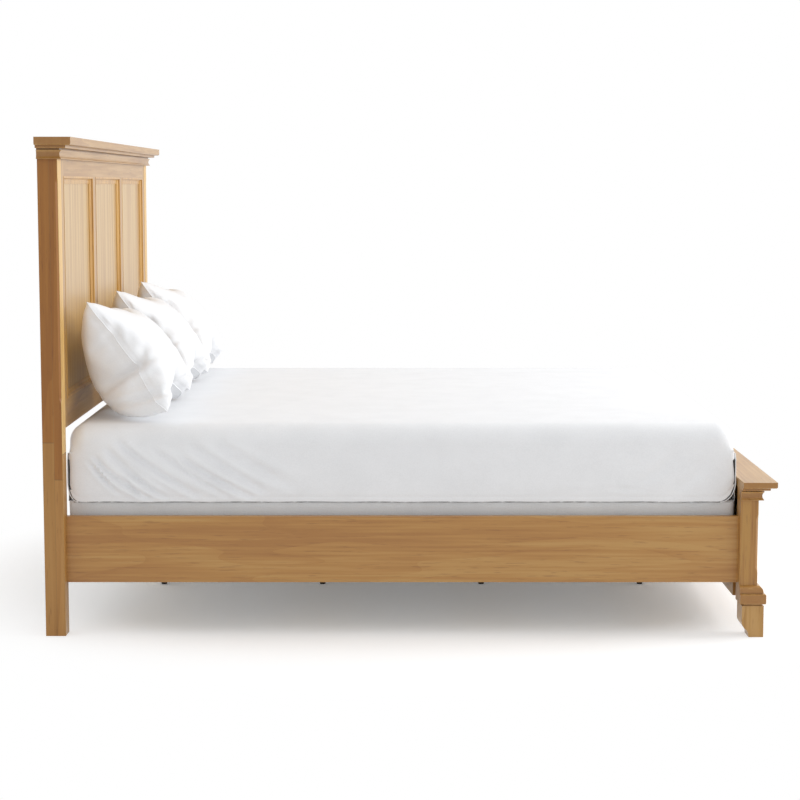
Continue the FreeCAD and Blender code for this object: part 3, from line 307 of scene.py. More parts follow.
@dataclass(frozen=True)
class Wood:
    """Sawn and sanded timber: the figure of its growth rings, fibres and open pores.

    The figure is the level lines of a slow noise that is drawn out along the grain. Drawn
    far out it gives straight lines, and less so the arches and whorls of flat-sawn boards.
    """

    name: str
    pale: str
    honey: str
    dark: str
    pore: str
    end: str
    figure_mm: float = 70.0
    figure_stretch: float = 22.0
    lines: float = 7.0
    figure: float = 0.13
    late: float = 2.2
    fibre_mm: float = 6.0
    fibres: float = 0.47
    pore_mm: float = 2.6
    spread: float = 0.1
    roughness: float = 0.4
    coat: float = 0.45
    relief_mm: float = 0.1
    lamellae: tuple[Lamella, ...] = ()

    def material(self, grain: Grain, centre: Vector, variant: int) -> bpy.types.Material:
        """The finish for one board.

        Args:
            grain: which way the grain runs.
            centre: the board's middle, so that each board has its own piece of log.
            variant: a number that shifts the board along the log.

        Returns:
            The material.
        """
        material, tree, shader = new_material(f"{self.name}_{grain.axis()}_{variant}")
        place = add_node(tree, "ShaderNodeTexCoord")
        turn = grain.turn()
        middle = -(turn.to_matrix() @ centre)
        board = add_node(tree, "ShaderNodeMapping", links={
            "Vector": place.outputs["Object"], "Rotation": turn,
            "Location": middle + Vector((variant * 3.7, 0, 0)),
        }).outputs["Vector"]
        fibres = self._streaks(tree, board, self.fibre_mm, 40, 5)
        broad = self._streaks(tree, board, 55, 7, 2)
        tone = self._sum(tree, ((self._figure(tree, board), self.figure), (fibres, self.fibres),
                                (broad, 1 - self.figure - self.fibres)))
        colour = ramp(tree, tone, {0.47 - self.spread: linear(self.pale), 0.48: linear(self.honey),
                                   0.49 + self.spread: linear(self.dark)})
        pores = ramp(tree, self._streaks(tree, board, self.pore_mm, 13, 2), {0.6: grey(0), 0.72: grey(0.45)})
        colour = self._blend(tree, pores, colour, linear(self.pore))
        colour = self._glued(tree, place, colour)
        colour = self._blend(tree, self._end_grain(tree, place, grain), colour, linear(self.end))
        tree.links.new(colour, shader.inputs["Base Color"])
        satin = add_node(tree, "ShaderNodeMapRange", links={
            "Value": fibres, "To Min": self.roughness - 0.05, "To Max": self.roughness + 0.07})
        tree.links.new(satin.outputs["Result"], shader.inputs["Roughness"])
        relief = add_node(tree, "ShaderNodeMath", {"operation": "SUBTRACT"}, {0: fibres, 1: pores})
        bump = add_node(tree, "ShaderNodeBump", links={
            "Height": relief.outputs[0], "Strength": 0.5, "Distance": self.relief_mm * MM})
        tree.links.new(bump.outputs["Normal"], shader.inputs["Normal"])
        shader.inputs["IOR"].default_value = 1.5
        shader.inputs["Coat Weight"].default_value = self.coat
        shader.inputs["Coat Roughness"].default_value = 0.28
        return material

    def _figure(self, tree: bpy.types.NodeTree, board: bpy.types.NodeSocket) -> bpy.types.NodeSocket:
        """Growth lines: each darkens slowly to its late wood and then ends."""
        swells = self._streaks(tree, board, self.figure_mm, self.figure_stretch, 1.5)
        counted = add_node(tree, "ShaderNodeMath", {"operation": "MULTIPLY"}, {0: swells, 1: self.lines})
        within = add_node(tree, "ShaderNodeMath", {"operation": "FRACT"}, {0: counted.outputs[0]})
        return add_node(tree, "ShaderNodeMath", {"operation": "POWER"}, {0: within.outputs[0], 1: self.late}).outputs[0]

    def _glued(self, tree: bpy.types.NodeTree, place: bpy.types.Node,
               colour: bpy.types.NodeSocket) -> bpy.types.NodeSocket:
        """Tones each strip of a glued-up post, with a fine line at its joints."""
        where = add_node(tree, "ShaderNodeSeparateXYZ", links={"Vector": place.outputs["Object"]})
        tint = linear("FFFFFF")
        for lamella in self.lamellae:
            beyond = self._above(tree, where.outputs["X"], lamella.start)
            upper = self._above(tree, where.outputs["Z"], lamella.joint)
            own = self._blend(tree, upper, linear(lamella.lower), linear(lamella.upper))
            seam = self._near(tree, where.outputs["Z"], lamella.joint)
            own = self._blend(tree, seam, own, linear("8E8478"))
            edge = self._near(tree, where.outputs["X"], lamella.start)
            own = self._blend(tree, edge, own, linear("A69C90"))
            tint = self._blend(tree, beyond, tint, own)
        if not self.lamellae:
            return colour
        return add_node(tree, "ShaderNodeMixRGB", {"blend_type": "MULTIPLY"}, {
            "Fac": 1.0, "Color1": colour, "Color2": tint}).outputs["Color"]

    def _above(self, tree: bpy.types.NodeTree, value: bpy.types.NodeSocket, limit: float) -> bpy.types.NodeSocket:
        """1 beyond a limit and 0 before it."""
        return add_node(tree, "ShaderNodeMath", {"operation": "GREATER_THAN"}, {0: value, 1: limit}).outputs[0]

    def _near(self, tree: bpy.types.NodeTree, value: bpy.types.NodeSocket, line: float) -> bpy.types.NodeSocket:
        """1 within a glue line's width of a line."""
        return add_node(tree, "ShaderNodeMath", {"operation": "COMPARE"}, {0: value, 1: line, 2: 0.9 * MM}).outputs[0]

    def _streaks(self, tree: bpy.types.NodeTree, board: bpy.types.NodeSocket, width_mm: float,
                 stretch: float, detail: float) -> bpy.types.NodeSocket:
        """Noise drawn out along the grain, with streaks of a real width."""
        scale = 1 / (width_mm * MM)
        drawn = add_node(tree, "ShaderNodeMapping", links={
            "Vector": board, "Scale": (scale / stretch, scale, scale)})
        noise = add_node(tree, "ShaderNodeTexNoise", links={
            "Vector": drawn.outputs["Vector"], "Scale": 0.5, "Detail": detail, "Roughness": 0.55})
        return noise.outputs["Fac"]

    def _sum(self, tree: bpy.types.NodeTree, parts: tuple) -> bpy.types.NodeSocket:
        """A weighted sum of patterns."""
        total = None
        for pattern, weight in parts:
            total = add_node(tree, "ShaderNodeMath", {"operation": "MULTIPLY_ADD"}, {
                0: pattern, 1: weight, 2: 0.0 if total is None else total}).outputs[0]
        return total

    def _blend(self, tree: bpy.types.NodeTree, factor: bpy.types.NodeSocket,
               under: bpy.types.NodeSocket | tuple,
               over: bpy.types.NodeSocket | tuple) -> bpy.types.NodeSocket:
        """Lays one colour over another."""
        mix = add_node(tree, "ShaderNodeMixRGB", links={"Fac": factor, "Color1": under, "Color2": over})
        return mix.outputs["Color"]

    def _end_grain(self, tree: bpy.types.NodeTree, place: bpy.types.Node, grain: Grain) -> bpy.types.NodeSocket:
        """How far a face shows end grain, which drinks the lacquer and is darker."""
        facing = add_node(tree, "ShaderNodeSeparateXYZ", links={"Vector": place.outputs["Normal"]})
        size = add_node(tree, "ShaderNodeMath", {"operation": "ABSOLUTE"}, {0: facing.outputs[grain.axis()]})
        return ramp(tree, size.outputs[0], {0.75: grey(0), 0.95: grey(0.8)})


@dataclass(frozen=True)
class Cloth:
    """Woven cloth: crossed threads, a soft nap and slight unevenness of tone."""

    name: str
    colour: str
    shade: str
    thread_mm: float
    roughness: float
    sheen: float
    weave: float
    crumple_mm: float = 0.0
    through: float = 0.0

    def material(self) -> bpy.types.Material:
        """The material."""
        material, tree, shader = new_material(self.name)
        place = add_node(tree, "ShaderNodeTexCoord").outputs["Object"]
        threads = [self._threads(tree, place, axis) for axis in "XYZ"]
        crossed = add_node(tree, "ShaderNodeMath", {"operation": "ADD"}, {0: threads[0], 1: threads[1]})
        crossed = add_node(tree, "ShaderNodeMath", {"operation": "ADD"}, {0: crossed.outputs[0], 1: threads[2]})
        cloud = add_node(tree, "ShaderNodeTexNoise", links={
            "Vector": place, "Scale": 9.0, "Detail": 3.0, "Roughness": 0.6}).outputs["Fac"]
        fuzz = add_node(tree, "ShaderNodeTexNoise", links={
            "Vector": place, "Scale": 1 / (2.5 * self.thread_mm * MM), "Detail": 2.0}).outputs["Fac"]
        tone = add_node(tree, "ShaderNodeMath", {"operation": "MULTIPLY_ADD"}, {0: fuzz, 1: 0.5, 2: 0.0})
        tone = add_node(tree, "ShaderNodeMath", {"operation": "MULTIPLY_ADD"}, {0: cloud, 1: 0.5, 2: tone.outputs[0]})
        colour = ramp(tree, tone.outputs[0], {0.35: linear(self.shade), 0.6: linear(self.colour)})
        tree.links.new(colour, shader.inputs["Base Color"])
        nap = add_node(tree, "ShaderNodeMapRange", links={
            "Value": fuzz, "To Min": self.roughness - 0.06, "To Max": self.roughness + 0.06})
        tree.links.new(nap.outputs["Result"], shader.inputs["Roughness"])
        normal = add_node(tree, "ShaderNodeBump", links={
            "Height": crossed.outputs[0], "Strength": self.weave, "Distance": 0.2 * self.thread_mm * MM}).outputs[0]
        if self.crumple_mm:
            creases = add_node(tree, "ShaderNodeTexNoise", links={
                "Vector": place, "Scale": 14.0, "Detail": 2.5, "Roughness": 0.5, "Distortion": 0.6}).outputs["Fac"]
            normal = add_node(tree, "ShaderNodeBump", links={
                "Height": creases, "Strength": 0.35, "Distance": self.crumple_mm * MM, "Normal": normal}).outputs[0]
        tree.links.new(normal, shader.inputs["Normal"])
        shader.inputs["IOR"].default_value = 1.45
        shader.inputs["Specular IOR Level"].default_value = 0.25
        shader.inputs["Sheen Weight"].default_value = self.sheen
        shader.inputs["Sheen Roughness"].default_value = 0.5
        shader.inputs["Subsurface Weight"].default_value = self.through
        shader.inputs["Subsurface Radius"].default_value = (0.004, 0.004, 0.004)
        return material

    def _threads(self, tree: bpy.types.NodeTree, place: bpy.types.NodeSocket, axis: str) -> bpy.types.NodeSocket:
        """Threads that lie across one axis."""
        wave = add_node(tree, "ShaderNodeTexWave", {"bands_direction": axis}, {
            "Vector": place, "Scale": math.tau / 20 / (self.thread_mm * MM), "Distortion": 0.6, "Detail": 1.0})
        return wave.outputs["Fac"]


@dataclass(frozen=True)
class Speckled:
    """A plated metal or moulded plastic: one colour, with a fine speckle in tone and gloss."""

    name: str
    colour: str
    shade: str
    metallic: float
    roughness: float
    speck_mm: float

    def material(self) -> bpy.types.Material:
        """The material."""
        material, tree, shader = new_material(self.name)
        place = add_node(tree, "ShaderNodeTexCoord").outputs["Object"]
        specks = add_node(tree, "ShaderNodeTexNoise", links={
            "Vector": place, "Scale": 1 / (self.speck_mm * MM), "Detail": 3.0}).outputs["Fac"]
        colour = ramp(tree, specks, {0.35: linear(self.shade), 0.65: linear(self.colour)})
        tree.links.new(colour, shader.inputs["Base Color"])
        gloss = add_node(tree, "ShaderNodeMapRange", links={
            "Value": specks, "To Min": self.roughness - 0.08, "To Max": self.roughness + 0.08})
        tree.links.new(gloss.outputs["Result"], shader.inputs["Roughness"])
        bump = add_node(tree, "ShaderNodeBump", links={
            "Height": specks, "Strength": 0.2, "Distance": 0.1 * self.speck_mm * MM})
        tree.links.new(bump.outputs["Normal"], shader.inputs["Normal"])
        shader.inputs["Metallic"].default_value = self.metallic
        return material


# White oak, sanded and sprayed with satin lacquer: warm honey, with a soft sheen.
OAK = Wood("white_oak_satin_lacquer", pale="BB9050", honey="B1843F", dark="A47434", pore="8A5A28", end="9A682A",
           fibre_mm=4.5, spread=0.075)
# The foot posts are of the same oak, and a shade browner.
OAK_POST = Wood("white_oak_post", pale="AE8039", honey="A4722F", dark="946324", pore="784B1E", end="936226",
                fibre_mm=3.5, spread=0.06)
# The head posts are glued up from strips, the long upper lengths darker than the lower ones, with a pale strip in
# front. The front strip's paleness is partly its own wood and partly painted light: its colour is raised to stand in
# for the light bounced onto it.
OAK_HEAD_POST = Wood("white_oak_glued_up", pale="E4BC74", honey="DDB36A", dark="CDA056", pore="AA7C40", end="936226",
                     fibre_mm=7, spread=0.12, coat=0.1,
                     lamellae=(Lamella(-2.0, 0.5964, "B99763", "C4AF98"), Lamella(-1.0774, 0.4831, "B5925E", "C8B29C"),
                               Lamella(-1.0527, 0.5600, "FFFFFF", "D9C6AC")))
# Sliced oak veneer on the panels: straight, even streaks, drawn wide enough to show.
OAK_PANEL = Wood("white_oak_veneer", pale="CCAA6C", honey="C29D5F", dark="B58C50", pore="A0743C",
                 end="A07140", figure=0.05, fibres=0.75, fibre_mm=13, spread=0.1)
# The mouldings round the panels are coloured a shade more golden and saturated than the other oak: painted bounce light
# and shade, for the warm light and shade in their recesses.
OAK_TRIM_PAINTED_LIGHT = Wood("white_oak_moulding", pale="CFA04E", honey="C49342", dark="AE7B30", pore="8F6028", end="A06C2A")
# The long rails are flat-sawn boards, with soft arches and whorls along the face.
OAK_RAIL = Wood("white_oak_flat_sawn", pale="BB8E4C", honey="B2803D", dark="A67233", pore="8A5A28",
                end="9C6A2C", figure_mm=85, figure_stretch=7, lines=9, figure=0.07, late=3.5, fibres=0.52, fibre_mm=5)
# Planed poplar and pine under the bedding have no lacquer: pale and matt.
TIMBER = Wood("planed_pine", pale="E0C79C", honey="D6B988", dark="C4A26E", pore="AD8856", end="B8945F",
              figure_mm=40, roughness=0.62, coat=0.0)
# Bright zinc plating on pressed steel: cool grey with a dull spangle.
ZINC = Speckled("zinc_plated_steel", "B9BCC0", "9DA1A6", metallic=1.0, roughness=0.36, speck_mm=2.0)
# Moulded black polypropylene: near black, with a dull moulded grain.
PLASTIC = Speckled("moulded_polypropylene", "242425", "19191A", metallic=0.0, roughness=0.5, speck_mm=0.9)
# Bleached cotton percale, drawn with threads coarse enough to show.
SHEET_COTTON = Cloth("cotton_percale", "F4F5F7", "EEEFF1", thread_mm=1.4, roughness=0.85, sheen=0.15, weave=0.12)
# The same cotton on the pillows, softer and a little crumpled.
PILLOW_COTTON = Cloth("washed_cotton", "F6F7F9", "F0F1F3", thread_mm=1.4, roughness=0.85, sheen=0.2, weave=0.12,
                      crumple_mm=0.8, through=0.05)
# Damask ticking on the mattress: a close, slightly shiny weave.
TICKING = Cloth("cotton_ticking", "EAE9E6", "DFDEDA", thread_mm=1.8, roughness=0.7, sheen=0.1, weave=0.25)
# Charcoal cloth used as painted shade: the dark welt along the box spring's upper edge and the dark strips inside the
# sheet's corner hems stand in for the shadowed gaps there.
PAINTED_GAP_SHADE = Cloth("painted_gap_shade_cloth", "4C4B4B", "3D3C3C", thread_mm=1.2, roughness=0.8, sheen=0.05, weave=0.3)
# Grey non-woven polyester on the box spring, with a fibrous, matt face.
COVER = Cloth("polyester_cover", "E5E7E9", "DCDEE0", thread_mm=1.6, roughness=0.8, sheen=0.1, weave=0.3)


# ---------------------------------------------------------------------------
# The frame of the bed
# ---------------------------------------------------------------------------

@dataclass
class BedFrame:
    """Gives every rigid piece that the frame holds its finish."""

    boards: dict[str, tuple[Wood, Grain]] = field(default_factory=lambda: {
        "head_post": (OAK_HEAD_POST, Grain.UPRIGHT),
        "foot_post": (OAK_POST, Grain.UPRIGHT),
        "stile": (OAK, Grain.UPRIGHT),
        "mullion": (OAK, Grain.UPRIGHT),
        "board_panel_": (OAK_PANEL, Grain.UPRIGHT),
        # The mouldings' golden colour is painted bounce light and shade.
        "panel_mouldings": (OAK_TRIM_PAINTED_LIGHT, Grain.UPRIGHT),
        "bottom_rail": (OAK, Grain.CROSSWISE),
        "top_rail": (OAK, Grain.CROSSWISE),
        "moulding": (OAK, Grain.CROSSWISE),
        "cap": (OAK, Grain.CROSSWISE),
        "foot_block": (OAK, Grain.UPRIGHT),
        "side_rail": (OAK_RAIL, Grain.LENGTHWISE),
        "ledger": (TIMBER, Grain.LENGTHWISE),
        "slat_legs": (TIMBER, Grain.UPRIGHT),
        "slat": (TIMBER, Grain.CROSSWISE),
    })
    fittings: dict[str, Speckled] = field(default_factory=lambda: {
        "glide": PLASTIC, "plates": ZINC, "inserts": ZINC, "screws": ZINC,
    })

    def dress(self) -> None:
        """Gives each node the first finish whose key its name holds."""
        shared = {key: finish.material() for key, finish in self.fittings.items()}
        for variant, name in enumerate(sorted(NODES)):
            made = next((shared[key] for key in shared if key in name), None)
            if made is None:
                made = self._board(name, variant)
            if made is not None:
                self.assign(NODES[name], made)
                LOG.info("dressed %s in %s", name, made.name)

    def _board(self, name: str, variant: int) -> bpy.types.Material | None:
        """The finish of a wooden piece.

        Args:
            name: the node's name.
            variant: a number of its own.

        Returns:
            The material, or None where the piece isn't wood.
        """
        order = ["panel_mouldings", *self.boards]
        for key in order:
            if key in name:
                finish, grain = self.boards[key]
                low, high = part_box(name)
                return finish.material(grain, (low + high) / 2, variant)
        return None

    @staticmethod
    def assign(piece: bpy.types.Object, material: bpy.types.Material) -> None:
        """Puts a material in every slot of a piece."""
        if not piece.material_slots:
            piece.data.materials.append(material)
        for entry in piece.material_slots:
            entry.material = material


def hand_over(piece: bpy.types.Object, body: str, material: bpy.types.Material) -> None:
    """Dresses a new piece and makes it ride on its body."""
    piece.data.materials.clear()
    piece.data.materials.append(material)
    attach(piece, body)
    LOG.info("built %s on %s", piece.name, body)


# ---------------------------------------------------------------------------
# Box spring and mattress
# ---------------------------------------------------------------------------

@dataclass
class BoxSpring:
    """The covered box under the mattress, with a welt round its upper and lower rims. The upper welt is dark cloth, as
    painted shade for the gap under the sheet's hem.
    """

    corner: float = 14 * MM
    rim: float = 5 * MM
    welt: float = 2.6 * MM
    # The radius of the dark upper welt, which is painted shade.
    painted_gap: float = 1.6 * MM
    pucker: float = 0.7 * MM
    pucker_pitch: float = 46 * MM
    stretch: tuple[float, float] = (14 * MM, 12 * MM)

    def build(self) -> None:
        """Builds the covered box and its welts."""
        low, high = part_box("foundation")
        low.x -= self.stretch[0]
        high.x += self.stretch[1]
        box = block("box_spring", low, high)
        with editing(box):
            pick(box, "EDGE", lambda edge: abs(edge.verts[0].co.z - edge.verts[1].co.z) > 0.1)
            bpy.ops.mesh.bevel(offset=self.corner, segments=5)
            pick(box, "FACE", lambda face: abs(face.normal.z) > 0.9)
            bpy.ops.mesh.inset(thickness=self.rim * 2)
            pick(box, "EDGE", lambda edge: len(edge.link_faces) == 2 and edge.calc_face_angle() > 1.2
                 and abs(edge.verts[0].co.z - edge.verts[1].co.z) < 1e-5)
            bpy.ops.mesh.bevel(offset=self.rim, segments=3)
            for axis, cuts in ((0, 120), (1, 110), (2, 10)):
                pick(box, "EDGE", lambda edge: self._runs(edge, axis))
                bpy.ops.mesh.subdivide(number_cuts=cuts)
        self._draw_in(box, low, high)
        smooth(box)
        cloth = COVER.material()
        hand_over(box, "foundation", cloth)
        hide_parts("foundation")
        # The upper welt is dark cloth: painted shade for the shadowed gap between the sheet's hem and the box spring.
        for name, level, radius, finish in (("lower", low.z + self.rim, self.welt, cloth),
                                            ("upper", high.z - self.rim, self.painted_gap, PAINTED_GAP_SHADE.material())):
            inset = Vector((radius, radius, 0))
            line = rim_line(low + inset, high - inset, self.corner, level)
            welt = tube(f"box_spring_welt_{name}", line, radius)
            hand_over(welt, "foundation", finish)

    def _runs(self, edge: bmesh.types.BMEdge, axis: int) -> bool:
        """Whether an edge runs straight along an axis, and is long."""
        way = edge.verts[1].co - edge.verts[0].co
        return abs(way[axis]) > 0.12 and way.length - abs(way[axis]) < 1e-5

    def _draw_in(self, box: bpy.types.Object, low: Vector, high: Vector) -> None:
        """Draws the cover in a little between its rims, with small puckers along the welts."""
        places = points_of(box)
        middle = (np.array(low) + np.array(high)) / 2
        level = (places[:, 2] - low.z) / (high.z - low.z)
        belly = 1.5 * MM * np.sin(np.pi * np.clip(level, 0, 1)) ** 2
        run = places[:, 0] + places[:, 1] * 1.3
        near_rim = np.exp(-((np.minimum(level, 1 - level) - 0.12) / 0.09) ** 2)
        belly += self.pucker * near_rim * (1 + np.sin(run * math.tau / self.pucker_pitch + 2 * np.sin(run * 9)))
        for axis in (0, 1):
            half = (high[axis] - low[axis]) / 2
            offset = places[:, axis] - middle[axis]
            on_side = np.abs(offset) > half - self.corner
            places[:, axis] -= np.where(on_side, np.sign(offset) * belly, 0)
        move_points(box, places)


@dataclass
class Mattress:
    """The mattress under its sheet: a crowned pad with quilting lines on its underside and a welt round its lower rim.
    """

    crown: float = 10 * MM
    edge: float = 46 * MM
    corner: float = 60 * MM
    welt: float = 3.5 * MM
    quilt_pitch: float = 160 * MM
    quilt_deep: float = 2.2 * MM
    inset: float = 14 * MM

    def build(self) -> None:
        """Builds the pad and its lower welt."""
        low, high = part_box("mattress")
        inset = Vector((self.inset, self.inset, 0))
        pad = block("mattress_pad", low + inset, high - inset - Vector((0, 0, self.crown + 2 * MM)))
        with editing(pad):
            pick(pad, "EDGE", lambda edge: abs(edge.verts[0].co.z - edge.verts[1].co.z) > 0.1)
            bpy.ops.mesh.bevel(offset=self.corner, segments=6)
            pick(pad, "EDGE", lambda edge: edge.verts[0].co.z > high.z - 0.05 and edge.verts[1].co.z > high.z - 0.05)
            bpy.ops.mesh.bevel(offset=self.edge, segments=6)
            pick(pad, "EDGE", lambda edge: edge.verts[0].co.z < low.z + 1e-5 and edge.verts[1].co.z < low.z + 1e-5)
            bpy.ops.mesh.bevel(offset=8 * MM, segments=3)
            for axis, cuts in ((0, 90), (1, 84), (2, 12)):
                pick(pad, "EDGE", lambda edge: self._runs(edge, axis))
                bpy.ops.mesh.subdivide(number_cuts=cuts)
        self._crown(pad, low, high)
        smooth(pad)
        cloth = TICKING.material()
        hand_over(pad, "mattress", cloth)
        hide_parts("mattress")
        line = rim_line(low + inset, high - inset, self.corner, low.z + self.welt + 3 * MM, 8)
        welt = tube("mattress_welt", line, self.welt)
        hand_over(welt, "mattress", cloth)

    def _runs(self, edge: bmesh.types.BMEdge, axis: int) -> bool:
        """Whether an edge runs straight along an axis, and is long."""
        way = edge.verts[1].co - edge.verts[0].co
        return abs(way[axis]) > 0.12 and way.length - abs(way[axis]) < 1e-5

    def _crown(self, pad: bpy.types.Object, low: Vector, high: Vector) -> None:
        """Raises the middle of the top, and sinks the quilting lines of the underside."""
        places = points_of(pad)
        across = [(2 * (places[:, axis] - low[axis]) / (high[axis] - low[axis]) - 1) for axis in (0, 1)]
        dome = np.clip(1 - across[0] ** 4, 0, 1) * np.clip(1 - across[1] ** 2, 0, 1)
        upper = ease((places[:, 2] - low.z) / (high.z - low.z - self.crown))
        places[:, 2] += self.crown * dome * upper
        under = places[:, 2] < low.z + 1 * MM
        lines = np.minimum(
            np.abs(np.sin((places[:, 0] + places[:, 1]) * np.pi / self.quilt_pitch)),
            np.abs(np.sin((places[:, 0] - places[:, 1]) * np.pi / self.quilt_pitch)))
        places[:, 2] += np.where(under, self.quilt_deep * np.exp(-(lines / 0.16) ** 2), 0)
        move_points(pad, places)


# ---------------------------------------------------------------------------
# Fitted sheet
# ---------------------------------------------------------------------------

@dataclass(frozen=True)
class Fold:
    """A crease on one side of the sheet, bowed through three places.

    A place is how far along the bed and how high it lies, in metres. The cloth stands
    up a little on both sides of the crease.
    """

    start: tuple[float, float]
    middle: tuple[float, float]
    end: tuple[float, float]
    width: float
    depth: float

    def relief(self, along: np.ndarray, height: np.ndarray) -> np.ndarray:
        """How far the cloth stands out at each place.

        Args:
            along: places along the side.
            height: heights.

        Returns:
            The relief in metres, below 0 in the crease.
        """
        start, middle, end = (np.array(place) for place in (self.start, self.middle, self.end))
        pull = 2 * middle - (start + end) / 2
        nearest = np.full(along.shape, 9.0)
        share = np.zeros(along.shape)
        for step in np.linspace(0, 1, 33):
            point = (1 - step) ** 2 * start + 2 * step * (1 - step) * pull + step ** 2 * end
            off = np.hypot(along - point[0], height - point[1])
            closer = off < nearest
            nearest = np.where(closer, off, nearest)
            share = np.where(closer, step, share)
        taper = ease(share / 0.3) * (0.35 + 0.65 * ease((1 - share) / 0.3))
        crease = np.exp(-(nearest / self.width) ** 2)
        swell = np.exp(-((nearest - 2.1 * self.width) / (1.1 * self.width)) ** 2)
        return self.depth * taper * (0.45 * swell - crease)


# Creases that fan out from the head corner, where the elastic pulls the cloth down.
HEAD_FOLDS = (
    Fold((-0.911, 0.606), (-0.810, 0.522), (-0.658, 0.429), 0.0082, 0.0168),
    Fold((-0.973, 0.560), (-0.912, 0.485), (-0.803, 0.420), 0.0072, 0.0142),
    Fold((-0.985, 0.541), (-0.952, 0.491), (-0.895, 0.432), 0.0057, 0.0097),
    Fold((-0.863, 0.504), (-0.811, 0.457), (-0.750, 0.420), 0.0068, 0.0106),
    Fold((-0.709, 0.550), (-0.627, 0.491), (-0.489, 0.423), 0.0088, 0.0161),
    Fold((-0.687, 0.594), (-0.586, 0.522), (-0.452, 0.442), 0.0106, 0.0118),
    Fold((-0.888, 0.491), (-0.858, 0.454), (-0.824, 0.420), 0.0057, 0.0088),
    Fold((-0.794, 0.575), (-0.703, 0.510), (-0.566, 0.429), 0.0082, 0.0116),
    Fold((-0.935, 0.578), (-0.881, 0.516), (-0.796, 0.442), 0.0078, 0.0106),
    Fold((-0.610, 0.597), (-0.503, 0.529), (-0.366, 0.460), 0.0135, 0.0085),
)
# Fewer and softer creases towards the foot corner.
FOOT_FOLDS = (
    Fold((0.84, 0.575), (0.76, 0.50), (0.65, 0.43), 0.0120, 0.0036),
    Fold((0.93, 0.56), (0.88, 0.49), (0.80, 0.428), 0.0120, 0.0030),
    Fold((0.70, 0.46), (0.66, 0.44), (0.60, 0.419), 0.0070, 0.0026),
    Fold((0.55, 0.45), (0.50, 0.434), (0.44, 0.418), 0.0070, 0.0020),
)
# Broad, soft folds on the two ends of the bed, measured across it.
END_FOLDS = (
    Fold((-0.86, 0.59), (-0.74, 0.50), (-0.58, 0.43), 0.035, 0.0070),
    Fold((0.84, 0.58), (0.73, 0.50), (0.55, 0.43), 0.035, 0.0070),
)


